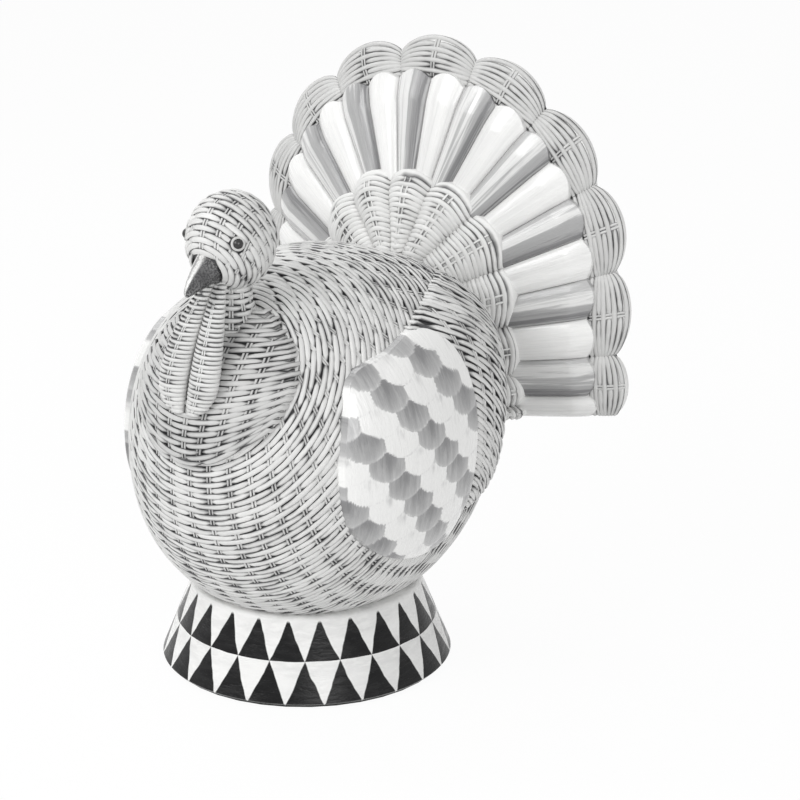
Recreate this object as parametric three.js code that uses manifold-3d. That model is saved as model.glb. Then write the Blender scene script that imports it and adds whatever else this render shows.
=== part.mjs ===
// Turkey figure for a harvest table: a cast body on a round pedestal, with a three-tier fanned tail.
// Millimetres, +Z up, origin at the centre of the underside. The beak points along -Y, and the bird's
// left side is +X.
import * as THREE from "three";
import { mergeVertices } from "three/addons/utils/BufferGeometryUtils.js";
import Module from "manifold-3d";

const { degToRad, lerp, smoothstep } = THREE.MathUtils;
const wasm = await Module();
wasm.setup();

// Driving dimensions

// Clearance between a piece and the one that carries it
const SEAT_GAP = 0.3;

// Pedestal
const FELT_THICKNESS = 1.5;
const FELT_INSET = 3;
const BASE_FOOT_RADIUS = 80.9;
const BASE_RIM_RADIUS = 63.5;
const BASE_HEIGHT = 46;
const BASE_WALL = 8;
const BASE_RIM_ROUND = 3;
const DECK_THICKNESS = 7;
const PLUG_THICKNESS = 3;
const PLUG_LAND = 4;

// Bolt between pedestal and body
const BOLT_RADIUS = 3;
const BOLT_REACH = 18;
const BOLT_HEAD_RADIUS = 5.5;
const BOLT_HEAD_HEIGHT = 4;
const WASHER_RADIUS = 9;
const WASHER_THICKNESS = 1.6;
const BOSS_RADIUS = 13;
const BOSS_HEIGHT = 26;
const VENT_RADIUS = 6;
const VENT_PLACE_Y = 30;

// Body: half sizes about its centre, a plump form that is squarer towards the tail
const BODY_HALF_WIDTH = 91;
const BODY_HALF_HEIGHT = 100;
const BODY_FRONT_DEPTH = 102.5;
const BODY_REAR_DEPTH = 99;
const BODY_CENTRE_Y = 5.5;
const BODY_SINK = 6;
const BODY_FLOOR_SHARE = 0.88;
const BODY_WALL = 7;
const BODY_FRONT_SQUARENESS = 2.2;
const BODY_REAR_SQUARENESS = 2.8;

// Main courses of the body's weave: rings about an axis through the breast, with a groove between each two
const COURSE_TILT = degToRad(34);
const COURSE_COUNT = 18;
const COURSE_GROOVE = 1.4;

// Head
const HEAD_HALF_WIDTH = 23;
const HEAD_HALF_DEPTH = 24.5;
const HEAD_HALF_HEIGHT = 26;
const HEAD_SET_BACK = 38.2;
const HEAD_RISE = 23;
const EYE_RADIUS = 2.9;
const EYE_RIM_TUBE = 0.9;
const EYE_SINK = 1;
const EYE_AZIMUTH = degToRad(49);
const EYE_ELEVATION = degToRad(10);
const BEAK_LENGTH = 43;
const BEAK_PITCH = degToRad(29);
const BEAK_HALF_WIDTH = 9;
const BEAK_HALF_HEIGHT = 10.5;
const BEAK_TIP_RADIUS = 1;
const BEAK_HOOK = 1.5;

// Neck, and the crop below it: half of its front outline as shares of the body's half width and height,
// and how far it stands off
const NECK_RADIUS = 10.5;
const NECK_FOOT_RADIUS = 17;
const CROP_OUTLINE = [
  [0, 0.11],
  [0.297, 0.18],
  [0.462, 0.32],
  [0.527, 0.5],
  [0.484, 0.66],
  [0.341, 0.78],
  [0.154, 0.86],
];
const CROP_EDGE = 3;
const CROP_CROWN = 7;
const NECK_PIN_RADIUS = 2.5;
const NECK_PIN_LENGTH = 48;

// Wattles: they hang from the chin to the front of the crop
const WATTLE_LENGTH = 62;
const WATTLE_CHIN_Y = 19.2;
const WATTLE_CHIN_Z = 22;
const WATTLE_TIP_INSET = 2;
const WATTLE_HALF_WIDTH = 8.6;
const WATTLE_HALF_DEPTH = 5;
const WATTLE_SPREAD = 1.7;

// Wings: side outlines as shares of the body's front and half height, how far each stands off the body at its
// rim and where it is thickest, and that place on the wing
const WING_OUTLINE = [
  [-0.346, 0.58],
  [0.024, 0.75],
  [0.395, 0.86],
  [0.6, 0.82],
  [0.707, 0.64],
  [0.668, 0.22],
  [0.629, -0.1],
  [0.473, -0.25],
  [0.141, -0.3],
  [-0.249, -0.22],
  [-0.483, 0.14],
];
const WING_PEAK = [0.434, 0.64];
const WING_EDGE = 3.5;
const WING_CROWN = 10;
const PANEL_OUTLINE = [
  [-0.493, 0.59],
  [-0.249, 0.665],
  [-0.005, 0.73],
  [0.102, 0.66],
  [0.156, 0.5],
  [0.176, 0.27],
  [0.171, 0.03],
  [0.151, -0.18],
  [0.122, -0.35],
  [0.015, -0.455],
  [-0.21, -0.475],
  [-0.454, -0.38],
  [-0.62, -0.19],
  [-0.663, 0.1],
  [-0.6, 0.39],
];
const PANEL_CROWN = 7;

// Tail fan: an arch of feather ends, drawn as a half circle with straight sides below it
const FAN_RADIUS = 107;
const FAN_CENTRE_DROP = 28;
const FAN_HUB_INSET = 11.5;
const FAN_DISH = 0.25;
const FAN_THICKNESS = 5;
const FAN_GROOVE = 1.5;
const FAN_GROOVE_SHARE = 0.42;
const FEATHERS_PER_SIDE = 11;
const FEATHER_STEP = degToRad(12.26);
const LAST_FEATHER_SHARE = 0.56;
const FAN_LOWEST_LEAN = degToRad(82);
const FEATHER_CROWN = 7.5;
const FEATHER_EDGE = 3.5;
const FEATHER_END_BULGE = 4;
const TIP_REACH = 23.2;
const TIP_NOTCH = 12.7;
const TIP_CROWN = 4;
const TIP_EDGE = 2;
const COVERTS_PER_SIDE = 6;
const COVERT_LENGTH = 42;
const COVERT_EDGE = 9;
const COVERT_CROWN = 13.5;
const COVERT_END_BULGE = 4.5;
const COVERT_TOP_DROP = 54;
const COVERT_SIDE_DROP = 40;
const TAIL_BOSS_RADIUS = 30;
const TAIL_BOSS_SHARE = 0.37;
const DOWEL_RADIUS = 4;
const DOWEL_SPACING = 32;
const DOWEL_LENGTH = 24;

// Facets round the forms
const BODY_FACETS = 32;
const CAVITY_FACETS = [20, 12];
const HEAD_FACETS = [20, 14];
const ROUND_FACETS = 36;
const PIN_FACETS = 14;
const SHIELD_FACETS = 26;
const CUT_MARGIN = 1;
const VERTEX_MERGE = 1e-3;
const NEAR_ZERO = 1e-4;

// Places that follow from them
const bodyFloorZ = BASE_HEIGHT - BODY_SINK;
const bodyCentre = new THREE.Vector3(0, BODY_CENTRE_Y, bodyFloorZ + BODY_FLOOR_SHARE * BODY_HALF_HEIGHT);
const bodyTop = bodyCentre.z + BODY_HALF_HEIGHT;
const bodyBreastY = BODY_CENTRE_Y - BODY_FRONT_DEPTH;
const headCentre = new THREE.Vector3(0, bodyBreastY + HEAD_SET_BACK, bodyTop + HEAD_RISE);
const fanCentreZ = bodyTop - FAN_CENTRE_DROP;
const fanHubY = BODY_CENTRE_Y + BODY_REAR_DEPTH - FAN_HUB_INSET;
const tailBossZ = bodyCentre.z + TAIL_BOSS_SHARE * BODY_HALF_HEIGHT;

const figure = new THREE.Group();

// Finishes
const wicker = { color: 0xc6c6c6, roughness: 0.55, metalness: 0 };
const whitePaint = { color: 0xf4f4f4, roughness: 0.15, metalness: 0 };
const greyPaint = { color: 0xa9a9a9, roughness: 0.15, metalness: 0 };
const blackPaint = { color: 0x222222, roughness: 0.12, metalness: 0 };
const beakPaint = { color: 0x565656, roughness: 0.3, metalness: 0.6 };
const steel = { color: 0x9a9a9a, roughness: 0.35, metalness: 1 };
const dowelWood = { color: 0xbba27c, roughness: 0.8, metalness: 0 };
const hardboard = { color: 0x6b5540, roughness: 0.9, metalness: 0 };
const felt = { color: 0x2b2b2b, roughness: 1, metalness: 0 };

// A closed geometry as a solid that can be cut, with its faces turned outwards.
function solidOf(geometry) {
  const plain = new THREE.BufferGeometry();
  plain.setAttribute("position", geometry.getAttribute("position"));
  plain.setIndex(geometry.index);
  const merged = mergeVertices(plain, VERTEX_MERGE);
  const vertProperties = merged.getAttribute("position").array;
  const corners = merged.index.array;
  const faces = [];
  let volume = 0;
  const [a, b, c] = [new THREE.Vector3(), new THREE.Vector3(), new THREE.Vector3()];
  for (let i = 0; i < corners.length; i += 3) {
    const [p, q, r] = corners.slice(i, i + 3);
    if (p === q || q === r || r === p) continue;
    faces.push([p, q, r]);
    a.fromArray(vertProperties, 3 * p);
    b.fromArray(vertProperties, 3 * q);
    c.fromArray(vertProperties, 3 * r);
    volume += a.dot(b.cross(c));
  }
  const outward = volume < 0 ? faces.map(([p, q, r]) => [p, r, q]) : faces;
  const triVerts = new Uint32Array(outward.flat());
  return new wasm.Manifold(new wasm.Mesh({ numProp: 3, vertProperties, triVerts }));
}

// A cut solid as a geometry.
function geometryOf(solid) {
  const { vertProperties, triVerts } = solid.getMesh();
  const geometry = new THREE.BufferGeometry();
  geometry.setAttribute("position", new THREE.BufferAttribute(vertProperties, 3));
  geometry.setIndex(new THREE.BufferAttribute(triVerts, 1));
  geometry.computeVertexNormals();
  return geometry;
}

function addPiece(name, solid, finish) {
  const piece = new THREE.Mesh(geometryOf(solid), new THREE.MeshStandardMaterial(finish));
  piece.name = name;
  figure.add(piece);
}

// The same solid on the bird's other side.
function mirrored(solid) {
  return solidOf(geometryOf(solid).scale(-1, 1, 1));
}

// An upright cylinder between two heights.
function upright(radius, bottom, top, facets, x = 0, y = 0) {
  const geometry = new THREE.CylinderGeometry(radius, radius, top - bottom, facets);
  geometry.rotateX(Math.PI / 2);
  return solidOf(geometry.translate(x, y, (bottom + top) / 2));
}

// A revolved form about +Z, from a closed profile of (radius, height) points.
function revolved(profile, facets) {
  const points = profile.map(([radius, height]) => new THREE.Vector2(radius, height));
  return solidOf(new THREE.LatheGeometry(points, facets).rotateX(Math.PI / 2));
}

// A tube through equal rings of points, with flat ends.
function loft(rings) {
  const count = rings[0].length;
  const positions = rings.flat().flatMap((point) => point.toArray());
  const faces = [];
  for (let ring = 0; ring + 1 < rings.length; ring++) {
    for (let i = 0; i < count; i++) {
      const near = ring * count + i;
      const beside = ring * count + ((i + 1) % count);
      faces.push(near, beside, beside + count, near, beside + count, near + count);
    }
  }
  const last = (rings.length - 1) * count;
  for (let i = 1; i + 1 < count; i++) {
    faces.push(0, i + 1, i, last, last + i, last + i + 1);
  }
  return solidOf(meshOf(positions, faces));
}

function meshOf(positions, faces) {
  const geometry = new THREE.BufferGeometry();
  geometry.setAttribute("position", new THREE.Float32BufferAttribute(positions, 3));
  return geometry.setIndex(faces);
}

// A closed leaf between a front and a back sheet of points, each a list of equal rows. It has no wall at its
// root where the first row folds onto itself, and none at its sides where the last column is the first again.
function leaf(front, back, { root = true, sides = true } = {}) {
  const rows = front.length;
  const columns = front[0].length;
  const size = rows * columns;
  const positions = [front, back].flat(2).flatMap((point) => point.toArray());
  const faces = [];
  const quad = (a, b, c, d) => faces.push(a, b, c, a, c, d);
  for (let row = 0; row + 1 < rows; row++) {
    for (let column = 0; column + 1 < columns; column++) {
      const a = row * columns + column;
      quad(a, a + 1, a + columns + 1, a + columns);
      quad(size + a, size + a + columns, size + a + columns + 1, size + a + 1);
    }
  }
  const wall = (corner, next) => quad(corner, size + corner, size + next, next);
  const lastRow = (rows - 1) * columns;
  for (let column = 0; column + 1 < columns; column++) {
    wall(lastRow + column + 1, lastRow + column);
    if (root) wall(column, column + 1);
  }
  for (let row = 0; sides && row + 1 < rows; row++) {
    wall(row * columns + columns - 1, (row + 1) * columns + columns - 1);
    wall((row + 1) * columns, row * columns);
  }
  return solidOf(meshOf(positions, faces));
}

// Body

// How far the body's skin lies from its centre in a direction, grown by a distance.
function bodyReach(direction, grow) {
  const halfDepth = direction.y < 0 ? BODY_FRONT_DEPTH : BODY_REAR_DEPTH;
  const rump = smoothstep(direction.y, -0.2, 0.6) * smoothstep(direction.z, -0.7, 0.5);
  const squareness = lerp(BODY_FRONT_SQUARENESS, BODY_REAR_SQUARENESS, rump);
  const level =
    Math.abs(direction.x / (BODY_HALF_WIDTH + grow)) ** squareness +
    Math.abs(direction.y / (halfDepth + grow)) ** squareness +
    Math.abs(direction.z / (BODY_HALF_HEIGHT + grow)) ** squareness;
  return level ** (-1 / squareness);
}

function boxAround(bottom, top) {
  const side = 4 * (BODY_FRONT_DEPTH + BODY_REAR_DEPTH);
  return solidOf(new THREE.BoxGeometry(side, side, top - bottom).translate(0, 0, (bottom + top) / 2));
}

// The body's outer form with its flat floor, grown by a distance. Its facets run in rings about the breast,
// and every second ring can be sunk.
function bodyForm(grow, [around, rings], floor, groove = 0) {
  const geometry = new THREE.SphereGeometry(1, around, rings).rotateX(Math.PI - COURSE_TILT);
  const points = geometry.getAttribute("position");
  const point = new THREE.Vector3();
  for (let i = 0; i < points.count; i++) {
    const ring = Math.floor(i / (around + 1));
    const sink = (ring % 2) * groove;
    point.fromBufferAttribute(points, i).normalize();
    point.multiplyScalar(bodyReach(point, grow) - sink).add(bodyCentre);
    points.setXYZ(i, point.x, point.y, point.z);
  }
  const below = floor - 2 * BODY_HALF_HEIGHT;
  return solidOf(geometry).subtract(boxAround(below, floor));
}

const bodySeat = bodyForm(SEAT_GAP, [BODY_FACETS, COURSE_COUNT], bodyFloorZ - SEAT_GAP);

// How far the body's skin lies from a point inside it, along an axis.
function skinAlong(start, axis) {
  let inside = 0;
  let outside = 2 * BODY_HALF_HEIGHT;
  const direction = new THREE.Vector3();
  for (let step = 0; step < 30; step++) {
    const middle = (inside + outside) / 2;
    direction.copy(start).addScaledVector(axis, middle).sub(bodyCentre);
    const distance = direction.length();
    if (distance < bodyReach(direction.normalize(), 0)) inside = middle;
    else outside = middle;
  }
  return inside;
}

// A point on the body's middle planes, its height given as a share of the half height.
function bodyPoint(x, y, rise) {
  return bodyCentre.clone().add(new THREE.Vector3(x, y, rise * BODY_HALF_HEIGHT));
}

// A raised shield's height off the skin, at a share of the way from its thickest place to its rim.
function domeHeight(edge, crown, share) {
  return edge + (crown - edge) * Math.sqrt(Math.max(0, 1 - share ** 2));
}

function rimOf(loop) {
  return new THREE.CatmullRomCurve3(loop, true).getSpacedPoints(SHIELD_FACETS).slice(0, SHIELD_FACETS);
}

// How far along the way from a middle to the rim around it a point lies, seen along an axis.
function shareToRim(point, rim, middle, axis) {
  const way = point.clone().sub(middle);
  const area = (a, b) => new THREE.Vector3().crossVectors(a, b).dot(axis);
  let share = 0;
  rim.forEach((corner, i) => {
    const reach = corner.clone().sub(middle);
    const side = rim[(i + 1) % rim.length].clone().sub(corner);
    const turn = area(way, side);
    if (Math.abs(turn) < NEAR_ZERO) return;
    const along = area(reach, way) / turn;
    const crossing = area(reach, side) / turn;
    if (along >= 0 && along <= 1 && crossing > 0) share = 1 / crossing;
  });
  return share;
}

// A raised shield on the body, seen along an axis: its rim is a loop of points on the body's middle plane.
// It is thickest at its peak, or else in its middle, and nowhere lower than least.
function shield(axis, loop, edge, crown, grow, { peak, least = () => 0 } = {}) {
  const rim = rimOf(loop);
  const middle = peak ?? new THREE.Box3().setFromPoints(rim).getCenter(new THREE.Vector3());
  const sheet = (depth) =>
    [0, 0.5, 0.85, 1].map((share) =>
      [...rim, rim[0]].map((point) => {
        const spread = share * (1 + grow / point.distanceTo(middle));
        const place = middle.clone().lerp(point, spread);
        const stand = depth ?? grow + Math.max(least(place), domeHeight(edge, crown, share));
        return place.addScaledVector(axis, skinAlong(place, axis) + stand);
      }),
    );
  return leaf(sheet(), sheet(-crown), { root: false, sides: false });
}

const boltTop = bodyFloorZ + BOLT_REACH;

function dowel(side, grow) {
  const end = fanHubY + FAN_DISH * Math.hypot(DOWEL_SPACING / 2, fanCentreZ - tailBossZ) + FAN_THICKNESS / 2;
  const length = DOWEL_LENGTH + 2 * grow;
  const geometry = new THREE.CylinderGeometry(DOWEL_RADIUS + grow, DOWEL_RADIUS + grow, length, PIN_FACETS);
  return solidOf(geometry.translate((side * DOWEL_SPACING) / 2, end - DOWEL_LENGTH / 2, tailBossZ));
}

function makeBody() {
  const innerFloor = bodyFloorZ + BODY_WALL;
  const cavity = bodyForm(-BODY_WALL, CAVITY_FACETS, innerFloor);
  const boss = upright(BOSS_RADIUS, bodyFloorZ + BODY_WALL / 2, bodyFloorZ + BOSS_HEIGHT, PIN_FACETS);
  const boltHole = upright(BOLT_RADIUS + SEAT_GAP, bodyFloorZ - CUT_MARGIN, boltTop + CUT_MARGIN, PIN_FACETS);
  const ventTop = innerFloor + CUT_MARGIN;
  const vent = upright(VENT_RADIUS, bodyFloorZ - CUT_MARGIN, ventTop, PIN_FACETS, 0, VENT_PLACE_Y);
  const shell = bodyForm(0, [BODY_FACETS, 2 * COURSE_COUNT], bodyFloorZ, COURSE_GROOVE)
    .subtract(cavity)
    .add(boss)
    .subtract(boltHole)
    .subtract(vent)
    .subtract(neckPin(SEAT_GAP))
    .subtract(dowel(1, SEAT_GAP))
    .subtract(dowel(-1, SEAT_GAP));
  addPiece("body_shell", shell, wicker);
}

// Pedestal

const deckTop = bodyFloorZ - SEAT_GAP;
const deckUnder = deckTop - DECK_THICKNESS;
const footZ = FELT_THICKNESS + SEAT_GAP;

function makePedestal() {
  const taper = (BASE_FOOT_RADIUS - BASE_RIM_RADIUS) / (BASE_HEIGHT - footZ);
  const outer = (z) => BASE_FOOT_RADIUS - taper * (z - footZ);
  const plugRadius = BASE_FOOT_RADIUS - PLUG_LAND;
  const rebateTop = footZ + PLUG_THICKNESS + SEAT_GAP;
  const rimStart = BASE_HEIGHT - BASE_RIM_ROUND;
  const rim = [];
  for (let step = 0; step <= 4; step++) {
    const turn = (step / 4) * (Math.PI / 2);
    const inset = BASE_RIM_ROUND * (1 - Math.cos(turn));
    rim.push([outer(rimStart) - inset, rimStart + BASE_RIM_ROUND * Math.sin(turn)]);
  }
  const hole = BOLT_RADIUS + SEAT_GAP;
  const profile = [
    [BASE_FOOT_RADIUS, footZ],
    ...rim,
    [hole, BASE_HEIGHT],
    [hole, deckUnder],
    [outer(deckUnder) - BASE_WALL, deckUnder],
    [outer(rebateTop) - BASE_WALL, rebateTop],
    [plugRadius + SEAT_GAP, rebateTop],
    [plugRadius + SEAT_GAP, footZ],
    [BASE_FOOT_RADIUS, footZ],
  ];
  addPiece("base_pedestal", revolved(profile, ROUND_FACETS).subtract(bodySeat), blackPaint);
  addPiece("base_plug", upright(plugRadius, footZ, footZ + PLUG_THICKNESS, ROUND_FACETS), hardboard);
  addPiece("base_felt_pad", upright(BASE_FOOT_RADIUS - FELT_INSET, 0, FELT_THICKNESS, ROUND_FACETS), felt);
}

function makeBolt() {
  const washerTop = deckUnder - SEAT_GAP;
  const washerUnder = washerTop - WASHER_THICKNESS;
  const headTop = washerUnder - SEAT_GAP;
  const hole = upright(BOLT_RADIUS + SEAT_GAP, washerUnder - CUT_MARGIN, washerTop + CUT_MARGIN, PIN_FACETS);
  addPiece("base_washer", upright(WASHER_RADIUS, washerUnder, washerTop, PIN_FACETS).subtract(hole), steel);
  const head = upright(BOLT_HEAD_RADIUS, headTop - BOLT_HEAD_HEIGHT, headTop, 6);
  const shank = upright(BOLT_RADIUS, headTop - BOLT_HEAD_HEIGHT / 2, boltTop, PIN_FACETS);
  addPiece("base_bolt", head.add(shank), steel);
}

// Head, neck and crop

const headSizes = [HEAD_HALF_WIDTH, HEAD_HALF_DEPTH, HEAD_HALF_HEIGHT];

function headForm(grow) {
  const geometry = new THREE.SphereGeometry(1, ...HEAD_FACETS).rotateX(Math.PI / 2);
  geometry.scale(...headSizes.map((size) => size + grow));
  return solidOf(geometry.translate(...headCentre.toArray()));
}

// Where an eye sits on the head, and the way it looks.
function eyePlace(side) {
  const look = new THREE.Vector3(
    side * Math.sin(EYE_AZIMUTH) * Math.cos(EYE_ELEVATION),
    -Math.cos(EYE_AZIMUTH) * Math.cos(EYE_ELEVATION),
    Math.sin(EYE_ELEVATION),
  );
  const level = look.toArray().reduce((sum, v, axis) => sum + (v / headSizes[axis]) ** 2, 0);
  const depth = 1 / Math.sqrt(level) - EYE_SINK;
  return { look, place: look.clone().multiplyScalar(depth).add(headCentre) };
}

function eyeBead(side, grow) {
  const { place } = eyePlace(side);
  const bead = new THREE.SphereGeometry(EYE_RADIUS + grow, 10, 8);
  return solidOf(bead.translate(...place.toArray()));
}

function eyeRim(side) {
  const { look, place } = eyePlace(side);
  const rim = new THREE.TorusGeometry(EYE_RADIUS + EYE_RIM_TUBE, EYE_RIM_TUBE, 4, 10);
  rim.lookAt(look);
  const lip = place.addScaledVector(look, EYE_SINK / 2);
  return solidOf(rim.translate(...lip.toArray()));
}

function neckPin(grow) {
  const middle = headCentre.z - HEAD_HALF_HEIGHT;
  const half = NECK_PIN_LENGTH / 2 + grow;
  return upright(NECK_PIN_RADIUS + grow, middle - half, middle + half, PIN_FACETS, 0, headCentre.y);
}

function cropForm(grow) {
  const half = CROP_OUTLINE.map(([across, rise]) => bodyPoint(across * BODY_HALF_WIDTH, 0, rise));
  const mirrored = half.slice(1).map((point) => point.clone().setX(-point.x));
  const forward = new THREE.Vector3(0, -1, 0);
  const crop = shield(forward, [...half, ...mirrored.reverse()], CROP_EDGE, CROP_CROWN, grow);
  const neckTop = headCentre.z - HEAD_HALF_HEIGHT / 2;
  const neckFoot = half[4].z;
  const neck = revolved(
    [
      [0, neckFoot],
      [NECK_FOOT_RADIUS + grow, neckFoot],
      [lerp(NECK_FOOT_RADIUS, NECK_RADIUS, 0.5) + grow, lerp(neckFoot, neckTop, 0.3)],
      [NECK_RADIUS + grow, lerp(neckFoot, neckTop, 0.6)],
      [NECK_RADIUS + grow, neckTop],
      [0, neckTop],
    ],
    PIN_FACETS,
  );
  return crop.add(neck.translate([0, headCentre.y, 0]));
}

function beakForm() {
  const forward = new THREE.Vector3(0, -Math.cos(BEAK_PITCH), -Math.sin(BEAK_PITCH));
  const up = new THREE.Vector3(0, -Math.sin(BEAK_PITCH), Math.cos(BEAK_PITCH));
  const rings = [0.3, 0.5, 0.65, 0.8, 0.92, 1].map((share) => {
    const taper = ((1 - share) / 0.7) ** 0.9;
    const ring = [];
    for (let i = 0; i < PIN_FACETS; i++) {
      const turn = (i / PIN_FACETS) * 2 * Math.PI;
      const across = (BEAK_HALF_WIDTH * taper + BEAK_TIP_RADIUS) * Math.cos(turn);
      const rise = (BEAK_HALF_HEIGHT * taper + BEAK_TIP_RADIUS) * Math.sin(turn) - BEAK_HOOK * share ** 3;
      const point = headCentre.clone().addScaledVector(forward, BEAK_LENGTH * share);
      ring.push(point.addScaledVector(up, rise).add(new THREE.Vector3(across, 0, 0)));
    }
    return ring;
  });
  return loft(rings).subtract(headForm(SEAT_GAP));
}

function makeHead() {
  let head = headForm(0).subtract(neckPin(SEAT_GAP));
  for (const side of [1, -1]) {
    head = head.add(eyeRim(side)).subtract(eyeBead(side, SEAT_GAP));
  }
  addPiece("head", head, wicker);
  addPiece("eye_left", eyeBead(1, 0), blackPaint);
  addPiece("eye_right", eyeBead(-1, 0), blackPaint);
  addPiece("beak", beakForm(), beakPaint);
  addPiece("neck_pin", neckPin(0), steel);
  const neck = cropForm(0).subtract(bodySeat).subtract(headForm(SEAT_GAP)).subtract(neckPin(SEAT_GAP));
  addPiece("neck_crop", neck, wicker);
}

function makeWattles() {
  const shares = [0, 0.12, 0.35, 0.6, 0.8, 0.92, 0.98, 1];
  const rings = shares.map((share) => {
    const swell = Math.sqrt(1 - ((share - 0.72) / (share < 0.72 ? 0.95 : 0.29)) ** 2);
    const innerEdge = SEAT_GAP / 2 + WATTLE_SPREAD * Math.sqrt(share);
    const hang = lerp(headCentre.y - WATTLE_CHIN_Y, bodyBreastY + WATTLE_TIP_INSET, Math.sqrt(share));
    const ring = [];
    for (let i = 0; i < PIN_FACETS; i++) {
      const turn = (i / PIN_FACETS) * 2 * Math.PI;
      const x = innerEdge + WATTLE_HALF_WIDTH * swell * (1 + Math.cos(turn));
      const y = hang + WATTLE_HALF_DEPTH * swell * Math.sin(turn);
      ring.push(new THREE.Vector3(x, y, headCentre.z - WATTLE_CHIN_Z - WATTLE_LENGTH * share));
    }
    return ring;
  });
  const wattle = loft(rings).subtract(cropForm(SEAT_GAP)).subtract(bodySeat).subtract(headForm(SEAT_GAP));
  addPiece("wattle_left", wattle, wicker);
  addPiece("wattle_right", mirrored(wattle), wicker);
}

// Wings

function makeWings() {
  const outward = new THREE.Vector3(1, 0, 0);
  const place = ([along, rise]) => bodyPoint(0, along * BODY_FRONT_DEPTH, rise);
  const wingLoop = WING_OUTLINE.map(place);
  const panelLoop = PANEL_OUTLINE.map(place);
  const peak = place(WING_PEAK);
  const wingRim = rimOf(wingLoop);
  const flush = (point) => domeHeight(WING_EDGE, WING_CROWN, shareToRim(point, wingRim, peak, outward));
  const panelRoom = shield(outward, panelLoop, WING_CROWN, 2 * WING_CROWN, SEAT_GAP);
  const roll = shield(outward, wingLoop, WING_EDGE, WING_CROWN, 0, { peak });
  const wing = roll.subtract(bodySeat).subtract(panelRoom);
  const panel = shield(outward, panelLoop, WING_EDGE, PANEL_CROWN, 0, { least: flush }).subtract(bodySeat);
  addPiece("wing_left", wing, wicker);
  addPiece("wing_right", mirrored(wing), wicker);
  addPiece("wing_panel_left", panel, whitePaint);
  addPiece("wing_panel_right", mirrored(panel), whitePaint);
}

// Tail fan

const fanEnd = FEATHERS_PER_SIDE - 1 + LAST_FEATHER_SHARE;
const lastNotch = FEATHERS_PER_SIDE - 2;

// The line that feather edge number k runs along: where it meets the painted ends, and its direction.
function edgeLine(k) {
  const side = k < 0 ? -1 : 1;
  const turn = Math.abs(k) * FEATHER_STEP;
  const arc = Math.min(turn, Math.PI / 2);
  const lean = FAN_LOWEST_LEAN * Math.sin(((Math.PI / 2) * Math.abs(k)) / fanEnd);
  return {
    x: side * FAN_RADIUS * Math.sin(arc),
    z: fanCentreZ + FAN_RADIUS * (Math.cos(arc) - (turn - arc)),
    dx: side * Math.sin(lean),
    dz: Math.cos(lean),
  };
}

// A point lifted off the fan's dished plate.
function platePoint(x, z, lift) {
  return new THREE.Vector3(x, fanHubY + FAN_DISH * Math.hypot(x, z - fanCentreZ) - lift, z);
}

// A point of the fan: along edge line k, a length past the painted ends.
function fanPoint(k, length, lift) {
  const line = edgeLine(k);
  return platePoint(line.x + length * line.dx, line.z + length * line.dz, lift);
}

// The scalloped rim: which share of its tip a line lies in, from -1 to 1, and how far the rim reaches.
function tipAt(k) {
  const edge = Math.abs(k);
  const last = edge > lastNotch;
  const middle = last ? (lastNotch + fanEnd) / 2 : 2 * Math.round(edge / 2);
  const half = last ? (fanEnd - lastNotch) / 2 : 1;
  const across = (edge - middle) / half;
  const swell = (1 - Math.min(1, across ** 2)) ** 0.7;
  return { across, swell, reach: TIP_NOTCH + (TIP_REACH - TIP_NOTCH) * swell * half };
}

function makeTailBack() {
  const columns = [];
  const steps = [-1, -0.8, -FAN_GROOVE_SHARE, 0, FAN_GROOVE_SHARE, 0.8];
  for (let tip = -lastNotch + 1; tip < lastNotch; tip += 2) {
    columns.push(...steps.map((share) => tip + share));
  }
  const lastHalf = (fanEnd - lastNotch) / 2;
  const lastTip = steps.map((share) => lastNotch + lastHalf * (1 + share));
  const innerTips = [...lastTip.slice(1).map((k) => -k).reverse(), ...columns, ...lastTip];
  const tips = [-fanEnd, ...innerTips, fanEnd];
  const tipStart = FEATHER_END_BULGE + SEAT_GAP;
  const isGroove = (k) => Math.abs(Math.abs(tipAt(k).across) - FAN_GROOVE_SHARE) < NEAR_ZERO;
  const groove = tips.map((k) => (isGroove(k) ? FAN_GROOVE : 0));
  const rootRows = (lift, deep = 0) => {
    const axisRow = tips.map((k) => {
      const line = edgeLine(k || NEAR_ZERO);
      return platePoint(0, line.z - (line.x * line.dz) / line.dx, lift);
    });
    return [axisRow, tips.map((k, i) => fanPoint(k, -COVERT_SIDE_DROP, lift + deep * groove[i]))];
  };
  const sheet = (isBack) => {
    const tipRows = [0, 0.35, 0.78, 1].map((share) =>
      tips.map((k, i) => {
        const { swell, reach } = tipAt(k);
        const round = Math.sqrt(1 - share ** 2);
        const halfDepth = TIP_EDGE / 2 + ((FAN_THICKNESS - TIP_EDGE) / 2) * round;
        const puff = share > 0 ? TIP_CROWN * round * swell : 0;
        const lift = isBack ? groove[i] * round - halfDepth : halfDepth + puff;
        return fanPoint(k, tipStart + share * (reach - tipStart), lift - FAN_THICKNESS / 2);
      }),
    );
    return [...(isBack ? rootRows(-FAN_THICKNESS, 1) : rootRows(0)), ...tipRows];
  };
  const bossLength = 4 * TAIL_BOSS_RADIUS;
  const bossForm = new THREE.CylinderGeometry(TAIL_BOSS_RADIUS, TAIL_BOSS_RADIUS, bossLength, PIN_FACETS);
  const behind = leaf(rootRows(-FAN_THICKNESS / 2), rootRows(-bossLength), { root: false });
  const boss = solidOf(bossForm.translate(0, fanHubY, tailBossZ)).subtract(behind);
  const back = leaf(sheet(false), sheet(true), { root: false })
    .add(boss)
    .subtract(bodySeat)
    .subtract(dowel(1, SEAT_GAP))
    .subtract(dowel(-1, SEAT_GAP));
  addPiece("tail_back", back, wicker);
  addPiece("tail_dowel_left", dowel(1, 0), dowelWood);
  addPiece("tail_dowel_right", dowel(-1, 0), dowelWood);
}

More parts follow.
